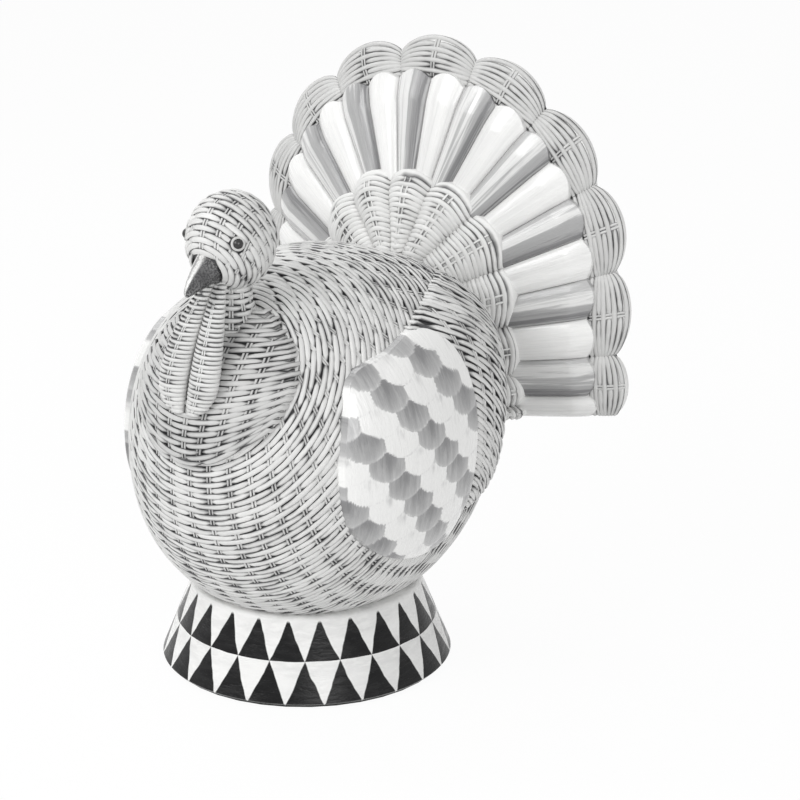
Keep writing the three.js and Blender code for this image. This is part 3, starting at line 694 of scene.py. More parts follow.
class Weave:
    """Strands of one woven piece, gathered before they become a mesh.

    Soft lightens the wash and painted shade in the grooves, tint the strands.
    """

    def __init__(self, wicker, seed, radius, wave, soft=0.0, tint=0.9):
        self.wicker = wicker
        self.random = np.random.default_rng(wicker.seed + seed)
        self.soft = soft
        self.tint = tint
        self.strands = []
        self.take_up(radius, wave)

    def take_up(self, radius, wave):
        """Sets the strands' radius and swing, and with them the depth of the weave's middle."""
        self.radius = radius
        self.wave = wave
        self.depth = radius * STRAND_FLAT + wave - self.wicker.stand_proud

    def strand(self, points, normals, height, radius, front, closed=False):
        """One strand. Front tells how far its points lie in front of the stakes, from 0 to 1, and lightens
        its painted shade.
        """
        if len(points) < 2:
            return
        size = np.broadcast_to(radius, len(points)) * self.random.uniform(0.95, 1.05)
        if not closed and len(points) > 4:
            size[[0, -1]] *= 0.7
        points = points + normals * np.broadcast_to(height, len(points))[:, None]
        along = np.gradient(points, axis=0)
        if closed:
            along = np.roll(points, -1, axis=0) - np.roll(points, 1, axis=0)
        self.strands.append({
            "points": points,
            "normals": normals,
            "along": along,
            "radius": size,
            "front": np.broadcast_to(front, len(points)),
            "shade": np.full(len(points), 1 - self.tint * self.random.uniform(0.84, 1)),
            "closed": closed,
        })

    def course(self, points, normals, stakes, row, closed=False, dip=0.2, thin=1.0):
        """One strand that dips behind every second stake."""
        away = np.abs((stakes + row) % 2 - 1)
        sunk = np.exp(-(away / dip) ** 2)
        thick = self.radius * thin * (1.03 - 0.2 * sunk + self.wander(stakes, 0.025))
        # A dip behind a stake lowers front, which darkens the strand there as painted shade.
        self.strand(points, normals, self.wave * (1 - 2 * sunk), thick, 1 - sunk, closed)

    def stake(self, points, normals, height=ROD_HEIGHT, radius=None):
        """One rod of a stake, that shows where a strand dips behind it."""
        # A stake counts as three quarters in front, for the painted shade of the weave.
        self.strand(points, normals, height, radius or self.wicker.stake_radius, 0.75)

    def wander(self, stakes, size):
        """Small smooth drift of a strand off its course."""
        phase = self.random.uniform(0, TURN, 2)
        return size * (np.sin(stakes * 0.9 + phase[0]) + 0.6 * np.sin(stakes * 2.3 + phase[1]))

    def mesh(self, name, *grounds):
        """The strands as tubes, with their lift and shade, over the grounds that wash and painted shade
        make dark.
        """
        curve = bpy.data.curves.new(name, "CURVE")
        curve.dimensions = "3D"
        curve.bevel_depth = 1.0
        curve.bevel_resolution = (len(SECTION) - 4) // 2
        for strand in self.strands:
            points = strand["points"]
            spline = curve.splines.new("POLY")
            spline.points.add(len(points) - 1)
            spline.points.foreach_set("co", np.c_[points, np.ones(len(points))].ravel())
            spline.points.foreach_set("radius", strand["radius"])
            spline.use_cyclic_u = strand["closed"]
        holder = bpy.data.objects.new(name, curve)
        bpy.context.scene.collection.objects.link(holder)
        finished = holder.evaluated_get(bpy.context.evaluated_depsgraph_get())
        tubes = bpy.data.meshes.new_from_object(finished)
        bpy.data.objects.remove(holder)
        bpy.data.curves.remove(curve)
        self.flatten(tubes)
        bm = bmesh.new()
        bm.from_mesh(tubes)
        bpy.data.meshes.remove(tubes)
        rims = [edge for edge in bm.edges if edge.is_boundary]
        if rims:
            bmesh.ops.holes_fill(bm, edges=rims, sides=len(SECTION))
        bmesh.ops.recalc_face_normals(bm, faces=bm.faces)
        for ground in grounds:
            merge(bm, ground)
        return mesh_of(bm, name)

    def joined(self, label):
        """One kind of values of all strands in a row."""
        return np.concatenate([strand[label] for strand in self.strands])

    def flatten(self, tubes):
        """Lays the tubes flat on their ground and writes lift and shade on their points."""
        along = unit(self.joined("along"))
        side = unit(np.cross(along, self.joined("normals")))
        out = np.cross(side, along)
        wide = np.cos(SECTION)[None, :, None] * STRAND_WIDE
        flat = np.sin(SECTION)[None, :, None] * STRAND_FLAT
        reach = self.joined("radius")[:, None, None] * (side[:, None] * wide + out[:, None] * flat)
        tubes.vertices.foreach_set("co", (self.joined("points")[:, None] + reach).ravel())
        # Lift is low on a strand's underside and where it passes behind a stake: painted shade, together
        # with the grey wash that settles low in the weave.
        lift = 0.22 + 0.5 * np.sin(SECTION) + 0.28 * self.joined("front")[:, None]
        lift = self.soft + (1 - self.soft) * np.clip(lift, 0.05, 1)
        shade = np.repeat(self.joined("shade"), len(SECTION))
        for label, values in (("lift", lift.ravel()), ("shade", shade)):
            layer = tubes.attributes.new(label, "FLOAT", "POINT")
            layer.data.foreach_set("value", values.astype(np.float32))

    def add(self, name, node, *grounds):
        """Adds the woven piece in place of a node, and returns its mesh."""
        mesh = self.mesh(name, *grounds)
        add_piece(name, mesh, painted("woven_wicker", wicker_paint, self.wicker), "wicker", node)
        return mesh


def stations(first, last, row):
    """Places along a course counted in stakes, closer together where it dips behind one."""
    even = np.arange(math.ceil(first * POINTS_PER_STAKE), math.floor(last * POINTS_PER_STAKE) + 1)
    even = even / POINTS_PER_STAKE
    away = (even + row) % 2 - 1
    places = even - away + np.sign(away) * np.abs(away) ** 1.6
    return places[(places >= first) & (places <= last)]


def spanned(first, last, row):
    """Stations of a course together with both of its ends."""
    inner = stations(first, last, row)
    inner = inner[(inner > first + 0.05) & (inner < last - 0.05)]
    return np.concatenate([[first], inner, [last]])


class Round:
    """A rounded form, measured by the distance from a pole and the turn about it from a front."""

    def __init__(self, centre, pole, front, reach):
        self.centre = centre
        self.pole = np.array(pole)
        self.front = np.array(front)
        self.reach = reach

    def skin(self, theta, phi, inset=0.0):
        """Points on the skin or below it, and their outward directions."""
        theta = np.broadcast_to(theta, phi.shape)
        spread = np.outer(np.cos(phi), self.front) + np.outer(np.sin(phi), np.array([1.0, 0, 0]))
        way = np.cos(theta)[:, None] * self.pole + np.sin(theta)[:, None] * spread
        return self.centre + way * (self.reach(way) - inset)[:, None], way

    def half_ring(self, theta, inset):
        """Length along half a ring from its front, and the turns that it belongs to."""
        turns = np.linspace(0, math.pi, 241)
        points, _ = self.skin(theta, turns, inset)
        steps = np.linalg.norm(np.diff(points, axis=0), axis=1)
        return np.concatenate([[0], np.cumsum(steps)]), turns

    def course(self, weave, theta, row, spacing, drift, shown, dip):
        """One ring of the weave, from a half and its mirrored half, where it shows."""
        length, fine = self.half_ring(theta, weave.depth)
        stakes = stations(0, length[-1] / spacing - 0.08, row)
        turns = np.interp(stakes * spacing, length, fine)
        turns = np.concatenate([turns, [math.pi], -turns[:0:-1]])
        stakes = np.concatenate([stakes, [row % 2], stakes[:0:-1]])
        points, way = self.skin(theta + weave.wander(stakes, drift), turns, weave.depth)
        free = shown(points)
        whole = bool(free.all())
        for run in runs_of(free, closed=True):
            weave.course(points[run], way[run], stakes[run], row, closed=whole, dip=dip)

    def stakes(self, weave, thetas, spacings, count, gap, margin, shown):
        """Stake pairs across the rings, each as far as the rings have room for it."""
        rings = [self.half_ring(theta, weave.depth) for theta in thetas]
        for number in range(-count, count + 1):
            for rod in ROD_PAIR:
                turns = []
                kept = []
                for theta, spacing, (length, fine) in zip(thetas, spacings, rings):
                    place = number * spacing + rod * gap
                    if abs(place) < length[-1] - margin * spacing:
                        turns.append(math.copysign(np.interp(abs(place), length, fine), place))
                        kept.append(theta)
                if len(kept) < 2:
                    continue
                points, way = self.skin(np.array(kept), np.array(turns), weave.depth)
                for run in runs_of(shown(points)):
                    weave.stake(points[run], way[run])

    def ground(self, columns, rows, inset):
        """The inside of the weave, dark with wash and painted shade, no lower than the pedestal's deck."""
        def place(u, v):
            points, _ = self.skin(v * math.pi, u * TURN, inset)
            points[:, 2] = np.maximum(points[:, 2], DECK_Z)
            return points
        return closed_grid(columns, rows, place, GROUND_LIFT)


BODY = Round(
    BODY_CENTRE, (0, -math.cos(BODY_POLE_TILT), math.sin(BODY_POLE_TILT)),
    (0, -math.sin(BODY_POLE_TILT), -math.cos(BODY_POLE_TILT)), body_reach)
HEAD = Round(HEAD_CENTRE, BEAK_FORWARD, BEAK_UP, head_reach)


# Materials


class Nodes:
    """A node tree, with short calls for its nodes."""

    def __init__(self, tree):
        self.tree = tree

    def give(self, socket, value):
        """Joins a socket to another one, or sets its value."""
        if isinstance(value, bpy.types.NodeSocket):
            self.tree.links.new(value, socket)
        else:
            socket.default_value = value

    def add(self, kind, **settings):
        """Adds a node. Settings are its own properties, or inputs by name with spaces as underscores."""
        node = self.tree.nodes.new(kind)
        for name, value in settings.items():
            if hasattr(node, name):
                setattr(node, name, value)
            else:
                self.give(node.inputs[name.replace("_", " ")], value)
        return node

    def calc(self, operation, *values):
        """A math node's result from sockets or numbers."""
        node = self.add("ShaderNodeMath", operation=operation)
        for socket, value in zip(node.inputs, values):
            self.give(socket, value)
        return node.outputs[0]

    def mix(self, factor, first, second):
        """A colour between two sockets or colours, by a factor."""
        node = self.add("ShaderNodeMix", data_type="RGBA")
        self.give(node.inputs[0], factor)
        for place, colour in ((6, first), (7, second)):
            if not isinstance(colour, bpy.types.NodeSocket):
                colour = (*colour, 1.0)
            self.give(node.inputs[place], colour)
        return node.outputs[2]

    def mix_shaders(self, factor, first, second, output):
        """Joins two shaders by a factor to the tree's output."""
        node = self.add("ShaderNodeMixShader")
        for socket, value in zip(node.inputs, (factor, first.outputs[0], second.outputs[0])):
            self.give(socket, value)
        self.give(self.tree.nodes[output].inputs["Surface"], node.outputs[0])

    def ranged(self, value, low, high, to_low=0.0, to_high=1.0):
        """A value moved from one range to another, smooth and clamped."""
        node = self.add(
            "ShaderNodeMapRange", interpolation_type="SMOOTHSTEP", Value=value,
            From_Min=low, From_Max=high, To_Min=to_low, To_Max=to_high)
        return node.outputs["Result"]

    def parts(self, vector):
        """The three values of a vector."""
        return self.add("ShaderNodeSeparateXYZ", Vector=vector).outputs

    def group(self, tree, **inputs):
        """Places a shared effect with its own values."""
        return self.add("ShaderNodeGroup", node_tree=tree, **inputs).outputs


class Paintbox(Nodes):
    """The nodes of a new material and its shader."""

    def __init__(self, name):
        self.material = bpy.data.materials.new(name)
        self.material.use_nodes = True
        super().__init__(self.material.node_tree)
        self.shader = self.tree.nodes["Principled BSDF"]

    def set(self, **values):
        """Sets or joins the shader's inputs, by name with spaces as underscores."""
        for name, value in values.items():
            self.give(self.shader.inputs[name.replace("_", " ")], value)

    def attribute(self, name):
        """A value stored on the piece's points."""
        return self.add("ShaderNodeAttribute", attribute_name=name).outputs["Fac"]

    def place(self, kind="Object"):
        """Object coordinates, or the piece's own UVs."""
        return self.add("ShaderNodeTexCoord").outputs[kind]

    def bump(self, height, distance, strength):
        """A normal from a height."""
        node = self.add("ShaderNodeBump", Strength=strength, Distance=distance, Height=height)
        self.set(Normal=node.outputs["Normal"])

    def brushed(self, strokes, smooth, rough, relief):
        """Lays a brush's strokes on the material as roughness and relief."""
        self.set(Roughness=self.ranged(strokes, 0.0, 1.0, smooth, rough))
        self.bump(strokes, relief, 0.5)


def painted(name, paint, *values):
    """A material by its name, painted the first time that it is asked for."""
    if name not in bpy.data.materials:
        paint(Paintbox(name), *values)
    return bpy.data.materials[name]


def new_group(name, inputs, outputs):
    """An empty shared effect with a place and named values as its inputs."""
    tree = bpy.data.node_groups.new(name, "ShaderNodeTree")
    tree.interface.new_socket(name="Place", in_out="INPUT", socket_type="NodeSocketVector")
    for label, default in inputs.items():
        socket = tree.interface.new_socket(name=label, in_out="INPUT", socket_type="NodeSocketFloat")
        socket.default_value = default
    for label in outputs:
        tree.interface.new_socket(name=label, in_out="OUTPUT", socket_type="NodeSocketFloat")
    nodes = Nodes(tree)
    return nodes, nodes.add("NodeGroupInput").outputs, nodes.add("NodeGroupOutput").inputs


def brush_strokes():
    """Streaks of a stiff brush along the second axis of a place, with fine hairs and broad bands."""
    if "brush_strokes" in bpy.data.node_groups:
        return bpy.data.node_groups["brush_strokes"]
    nodes, given, result = new_group("brush_strokes", {"Hairs": 30.0, "Run": 1.5}, ["Strokes", "Bands"])
    stretch = nodes.add("ShaderNodeCombineXYZ", X=given["Hairs"], Y=given["Run"], Z=given["Run"])
    scaled = nodes.add("ShaderNodeVectorMath", operation="MULTIPLY")
    nodes.give(scaled.inputs[0], given["Place"])
    nodes.give(scaled.inputs[1], stretch.outputs[0])
    place = scaled.outputs[0]
    hairs = nodes.add(
        "ShaderNodeTexNoise", Vector=place, Scale=1.0, Detail=4.0, Roughness=0.65, Distortion=0.3)
    bands = nodes.add(
        "ShaderNodeTexNoise", Vector=place, Scale=0.22, Detail=2.0, Roughness=0.5, Distortion=0.2)
    nodes.give(result["Strokes"], nodes.ranged(hairs.outputs["Fac"], 0.3, 0.7))
    nodes.give(result["Bands"], nodes.ranged(bands.outputs["Fac"], 0.36, 0.64))
    return nodes.tree


def cast_grain():
    """Fine grain and soft blotches of painted cast resin."""
    if "cast_grain" in bpy.data.node_groups:
        return bpy.data.node_groups["cast_grain"]
    nodes, given, result = new_group("cast_grain", {"Scale": 900.0}, ["Grain", "Blotch"])
    coarse = nodes.calc("MULTIPLY", given["Scale"], 0.06)
    grain = nodes.add(
        "ShaderNodeTexNoise", Vector=given["Place"], Scale=given["Scale"], Detail=3.0, Roughness=0.6)
    blotch = nodes.add(
        "ShaderNodeTexNoise", Vector=given["Place"], Scale=coarse, Detail=2.0, Roughness=0.5)
    nodes.give(result["Grain"], grain.outputs["Fac"])
    nodes.give(result["Blotch"], nodes.ranged(blotch.outputs["Fac"], 0.3, 0.7))
    return nodes.tree


def wicker_paint(box, wicker):
    """Pale painted strands, darkened low in the weave by a grey wash and by painted shade."""
    grain = box.group(cast_grain(), Place=box.place(), Scale=1100.0)
    # Low lift darkens towards the wash colour: the wash in the gaps together with painted shade under and
    # behind the strands
    uneven = box.calc("MULTIPLY_ADD", grain["Blotch"], 0.22, box.attribute("lift"))
    clear = box.ranged(uneven, 0.68, 1.0)
    # Each strand's own tone varies at random; the bib's darker and the coverts' paler tint add painted
    # shade and light.
    pale = box.mix(box.attribute("shade"), wicker.colour, [part * 0.2 for part in wicker.colour])
    box.set(Base_Color=box.mix(clear, wicker.wash_and_shade_colour, pale))
    box.set(Roughness=box.ranged(grain["Grain"], 0.3, 0.7, 0.36, 0.52))
    box.set(Coat_Weight=0.15, Coat_Roughness=0.3)
    box.bump(grain["Grain"], 0.0004, 0.6)


def white_paint(box, paint):
    """Glossy white with faint grey brush streaks."""
    brush = box.group(brush_strokes(), Place=box.place("UV"), Hairs=16.0, Run=1.2)
    shade = box.calc("MULTIPLY", brush["Strokes"], brush["Bands"])
    shade = box.calc("MULTIPLY", shade, 0.42)
    box.set(Base_Color=box.mix(shade, paint.white, paint.pale_grey))
    box.set(Coat_Weight=0.6, Coat_Roughness=0.08)
    box.brushed(brush["Strokes"], 0.2, 0.34, 0.00025)


def grey_paint(box, paint):
    """Glossy grey in streaks, pale on one side, a ragged white stroke as painted highlight, then darker to
    the other side as painted shade.
    """
    place = box.place("UV")
    brush = box.group(brush_strokes(), Place=place, Hairs=13.0, Run=0.9)
    across = box.calc("FRACT", box.parts(place)["X"])
    for streaks in (brush["Strokes"], brush["Bands"]):
        across = box.calc("MULTIPLY_ADD", box.calc("SUBTRACT", streaks, 0.5), 0.16, across)
    # The pale side and the ragged white stroke are painted light, the dark band beside them painted shade.
    stroke = box.calc("SUBTRACT", box.ranged(across, 0.22, 0.38), box.ranged(across, 0.42, 0.54))
    dark = box.calc("SUBTRACT", box.ranged(across, 0.56, 0.8), box.ranged(across, 0.84, 0.98))
    shade = box.calc("MAXIMUM", dark, box.ranged(across, 0.42, 0.58, 0.0, 0.35))
    colour = box.mix(shade, paint.pale_grey, paint.dark_grey)
    box.set(Base_Color=box.mix(box.calc("MULTIPLY", stroke, 0.7), colour, paint.white))
    box.set(Coat_Weight=0.5, Coat_Roughness=0.08)
    box.brushed(brush["Strokes"], 0.18, 0.34, 0.0003)


def panel_paint(box, paint):
    """Glossy scallops in white and grey, each stroked from its root."""
    brush = box.group(brush_strokes(), Place=box.place("UV"), Hairs=420.0, Run=60.0)
    uneven = box.calc("MULTIPLY_ADD", brush["Strokes"], 0.22, box.attribute("scallop"))
    grey = box.mix(box.ranged(uneven, 0.5, 1.15), paint.pale_grey, paint.dark_grey)
    box.set(Base_Color=box.mix(box.ranged(uneven, 0.25, 0.58), paint.white, grey))
    box.set(Coat_Weight=0.8, Coat_Roughness=0.07)
    box.brushed(brush["Strokes"], 0.18, 0.32, 0.0002)


def border_paint(box, paint):
    """Two rows of black sawtooth points on white, brushed by hand round the pedestal."""
    place = box.place()
    wobble = box.add("ShaderNodeTexNoise", Vector=place, Scale=70.0, Detail=2.0)
    drift = box.calc("SUBTRACT", wobble.outputs["Fac"], 0.5)
    parts = box.parts(place)
    turn = box.calc("ARCTAN2", parts["Y"], parts["X"])
    step = box.calc("MULTIPLY", turn, paint.border_points / TURN)
    step = box.calc("MULTIPLY_ADD", drift, 0.16, step)
    rise = box.calc("SUBTRACT", parts["Z"], BASE_FOOT_Z)
    rise = box.calc("DIVIDE", rise, BASE_HEIGHT - BASE_FOOT_Z)
    rise = box.calc("MULTIPLY_ADD", drift, 0.05, box.calc("MULTIPLY", rise, 2.0))
    rise = box.calc("MAXIMUM", box.calc("MINIMUM", rise, 1.97), 0.02)
    row = box.calc("FLOOR", rise)
    inside = box.calc("FRACT", rise)
    saw = box.calc("FRACT", box.calc("MULTIPLY_ADD", row, 0.5, step))
    saw = box.calc("ABSOLUTE", box.calc("SUBTRACT", saw, 0.5))
    saw = box.calc("MULTIPLY", saw, 2.0)
    edge = box.calc("SUBTRACT", box.calc("SUBTRACT", 1.0, inside), saw)
    plain_rim = box.ranged(rise, 1.86, 1.94, 1.0, 0.0)
    black = box.calc("MULTIPLY", box.ranged(edge, -0.03, 0.03), plain_rim)
    around = box.add("ShaderNodeCombineXYZ", X=box.calc("MULTIPLY", parts["Z"], 14.0), Y=turn)
    brush = box.group(brush_strokes(), Place=around.outputs[0], Hairs=22.0, Run=6.0)
    worn = box.calc("MULTIPLY", brush["Strokes"], brush["Bands"])
    white = box.mix(box.calc("MULTIPLY", worn, 0.35), paint.white, paint.pale_grey)
    dark = box.mix(box.calc("MULTIPLY", worn, 0.03), paint.black, paint.pale_grey)
    box.set(Base_Color=box.mix(black, white, dark))
    box.set(Specular_IOR_Level=0.18)
    box.brushed(brush["Strokes"], 0.16, 0.32, 0.0003)


def beak_paint(box, paint):
    """Dark mottled beak with a soft metal shine and a painted highlight along its ridge."""
    grain = box.group(cast_grain(), Place=box.place(), Scale=1000.0)
    mottle = box.calc("MULTIPLY", grain["Blotch"], box.ranged(grain["Grain"], 0.4, 0.65))
    aside = box.calc("SUBTRACT", box.parts(box.place("UV"))["X"], 0.25)
    aside = box.calc("MULTIPLY_ADD", mottle, 0.05, box.calc("ABSOLUTE", aside))
    # A pale band along the top ridge of the beak is a painted highlight.
    ridge = box.ranged(aside, 0.075, 0.12, 1.0, 0.0)
    ridge = box.calc("MULTIPLY", ridge, box.ranged(aside, 0.02, 0.05, 0.3, 0.85))
    colour = box.mix(box.calc("MULTIPLY", mottle, 0.6), paint.beak, paint.pale_grey)
    box.set(Base_Color=box.mix(ridge, colour, paint.white))
    box.set(Roughness=box.ranged(grain["Grain"], 0.3, 0.7, 0.2, 0.38))
    box.set(Metallic=0.2, Coat_Weight=0.2, Coat_Roughness=0.1)
    box.bump(grain["Blotch"], 0.0004, 0.6)


def plain_paint(box, first, second, scale, rough, metal=0.0):
    """A finish in two close colours with grain, for pieces that hardly show."""
    grain = box.group(cast_grain(), Place=box.place(), Scale=scale)
    box.set(Base_Color=box.mix(grain["Grain"], first, second))
    box.set(Roughness=box.ranged(grain["Grain"], 0.3, 0.7, rough - 0.08, rough + 0.08))
    box.set(Metallic=metal)
    box.bump(grain["Grain"], 0.0003, 0.4)


# Operators


class TURKEY_OT_body(bpy.types.Operator):
    """Weave the plump body in rings about the breast"""

    bl_idname = "turkey.body"
    bl_label = "Weave body"

    FIRST_RING = math.radians(25)
    LAST_RING = math.radians(176)
    RING_STEP = math.radians(2)
    SPACING_TURNS = np.radians([26, 75, 110, 170])
    SPACING = np.array([0.0123, 0.015, 0.015, 0.007])
    STAKES = 24
    DRIFT = 0.0002
    WINDOW = 0.0027
    LOWEST = 0.043
    FLANK = 0.045
    INSIDE = 0.0006

    def shown(self, points):
        """Points that neither the pedestal, the bib nor a wing covers."""
        x, y, z = points.T
        side = np.abs(x) > self.FLANK
        under_wing = side & (WING.share(y, z) < 0.8)
        under_panel = side & (PANEL.share(y, z) < 0.84)
        under_bib = (y < 0) & (BIB.share(x, z) < 0.8)
        return (z > self.LOWEST) & ~under_wing & ~under_panel & ~under_bib

    def spacing(self, theta):
        """Distance between two stakes on a ring."""
        return np.interp(theta, self.SPACING_TURNS, self.SPACING)

    def execute(self, context):
        wicker = context.scene.turkey_wicker
        front, rear, upright = [
            Weave(wicker, seed, wicker.strand_radius, wicker.wave_height) for seed in (1, 12, 2)]
        mean_reach = (BODY_HALF_HEIGHT + BODY_FRONT_DEPTH) / 2
        pitch = wicker.course_pitch / mean_reach
        for row, theta in enumerate(np.arange(math.pi - pitch / 2, self.FIRST_RING, -pitch)):
            weave = rear if theta > QUARTER else front
            spacing = float(self.spacing(theta))
            drift = self.DRIFT / mean_reach
            BODY.course(weave, theta, row, spacing, drift, self.shown, self.WINDOW / spacing)
        front.add("body_courses_front", "body_shell")
        rear.add("body_courses_rear", "body_shell")
        thetas = np.arange(self.FIRST_RING, self.LAST_RING, self.RING_STEP)
        gap = wicker.stake_pair_gap
        BODY.stakes(upright, thetas, self.spacing(thetas), self.STAKES, gap, 0.5, self.shown)
        upright.add("body_stakes", "body_shell", BODY.ground(96, 64, upright.depth + self.INSIDE))
        return {"FINISHED"}


class TURKEY_OT_bib(bpy.types.Operator):
    """Weave the bib on the breast and the neck above it"""

    bl_idname = "turkey.bib"
    bl_label = "Weave bib and neck"

    RADIUS = 0.00145
    WAVE = 0.0009
    PITCH = 0.0031
    SPACING = 0.0112
    DRIFT = 0.0002
    STAKES = 4
    LEAST = 0.004
    FULL_HALF = 0.046
    HALF_WIDTH_Z = (0.14, 0.16, 0.178, 0.194, 0.206, 0.213)
    HALF_WIDTH = (0.01, 0.042, 0.048, 0.044, 0.031, 0.014)
    # The bib's darker tone than the neck's is painted shade.
    TINT = 0.68
    NECK_STAKES = 10
    NECK_ROD = 0.0007
    NECK_ROD_TURN = 0.14
    NECK_TINT = 0.9

    def course_line(self, middle_z, x):
        """Height of a course that bows up towards the bib's sides."""
        low = np.clip((0.205 - middle_z) / 0.066, 0, 1)
        bow = 0.003 + 0.017 * low ** 2.2
        return middle_z + bow * (x / 0.04) ** 2

    def spacing(self, half_width):
        """Distance between two stakes, which draw together where the bib is narrow."""
        return self.SPACING * (0.72 + 0.28 * np.minimum(half_width / self.FULL_HALF, 1))

    def courses(self, weave):
        """Courses across the bib, whose ends turn in at the rim."""
        fine = np.linspace(0, 0.052, 131)
        for row, middle_z in enumerate(BIB.rows(0.0, 0.1412, 0.2135, self.PITCH)):
            outside = BIB.share(fine, self.course_line(middle_z, fine)) > 0.985
            end = fine[int(np.argmax(outside))] if outside.any() else fine[-1]
            if end < self.LEAST:
                continue
            spacing = self.spacing(end)
            places = spanned(-end / spacing, end / spacing, row)
            x = places * spacing
            z = self.course_line(middle_z, x) + weave.wander(places, self.DRIFT)
            points, normals, places = BIB.over_rim(x, z, places, weave.depth)
            weave.course(points, normals, places, row, dip=0.25)

    def stakes(self, weave):
        """Stake pairs up the bib, that draw together at the neck."""
        z = np.linspace(self.HALF_WIDTH_Z[0], self.HALF_WIDTH_Z[-1], 25)
        spacing = self.spacing(np.interp(z, self.HALF_WIDTH_Z, self.HALF_WIDTH))
        for number in range(-self.STAKES, self.STAKES + 1):
            for rod in ROD_PAIR:
                x = number * spacing + rod * weave.wicker.stake_pair_gap
                for run in runs_of(BIB.share(x, z) < 0.96):
                    points = BIB.dome(x[run], z[run], weave.depth)
                    weave.stake(points, BIB.normal(x[run], z[run]))

    def neck(self, weave):
        """Rings up the neck and its stakes."""
        for row, z in enumerate(np.arange(0.1955, 0.2345, self.PITCH)):
            places = stations(0, self.NECK_STAKES - 0.01, row)
            turns = places / self.NECK_STAKES * TURN
            points, out = neck_point(turns, np.full(len(turns), z), weave.depth)
            weave.course(points, out, places, row, closed=True, dip=0.33)
        z = np.linspace(0.194, 0.236, 12)
        for number in range(self.NECK_STAKES):
            for rod in ROD_PAIR:
                turn = TURN * number / self.NECK_STAKES + rod * self.NECK_ROD_TURN
                points, out = neck_point(np.full(len(z), turn), z, weave.depth)
                weave.stake(points, out, radius=self.NECK_ROD)

    def grounds(self, deep):
        """The inside of bib and neck, dark with wash and painted shade."""
        def bib(u, v):
            return BIB.ground(u, v, deep)

        def neck(u, v):
            return neck_point(u * TURN, 0.196 + v * 0.042, deep)[0]

        # The painted shade and wash lighten towards the end of each grid: the bib's rim and the neck's
        # top.
        def lift(u, v):
            return GROUND_LIFT + 0.52 * ease(v, 0.72, 0.88)
        return closed_grid(64, 16, bib, lift), closed_grid(24, 8, neck, lift)

    def execute(self, context):
        weave = Weave(context.scene.turkey_wicker, 3, self.RADIUS, self.WAVE, tint=self.TINT)
        self.courses(weave)
        self.stakes(weave)
        weave.tint = self.NECK_TINT
        self.neck(weave)
        weave.add("bib_and_neck", "neck_crop", *self.grounds(weave.depth + GROUND_DROP))
        return {"FINISHED"}


class TURKEY_OT_head(bpy.types.Operator):
    """Weave the head in rings about the beak"""

    bl_idname = "turkey.head"
    bl_label = "Weave head"

    RADIUS = 0.00165
    WAVE = 0.0006
    PITCH = 0.0032
    SPACING = 0.009
    FIRST_RING = math.radians(20)
    STAKES = 9
    PAIR_GAP = 0.0018
    DRIFT = 0.0001
    EYE_ROOM = 0.0039

    def shown(self, points):
        """Points that lie clear of both eyes."""
        eyes = [eye_place(side) for side in (-1, 1)]
        return np.all([np.linalg.norm(points - eye, axis=1) > self.EYE_ROOM for eye in eyes], axis=0)

    def execute(self, context):
        weave = Weave(context.scene.turkey_wicker, 4, self.RADIUS, self.WAVE)
        pitch = self.PITCH / HEAD_SIZE.mean()
        drift = self.DRIFT / HEAD_SIZE.mean()
        thetas = np.arange(math.pi - pitch / 2, self.FIRST_RING, -pitch)
        for row, theta in enumerate(thetas):
            HEAD.course(weave, theta, row, self.SPACING, drift, self.shown, 0.27)
        spacings = np.full(len(thetas), self.SPACING)
        HEAD.stakes(weave, thetas, spacings, self.STAKES, self.PAIR_GAP, 1 / 3, self.shown)
        weave.add("head_weave", "head", HEAD.ground(40, 24, weave.depth + GROUND_DROP))
        return {"FINISHED"}


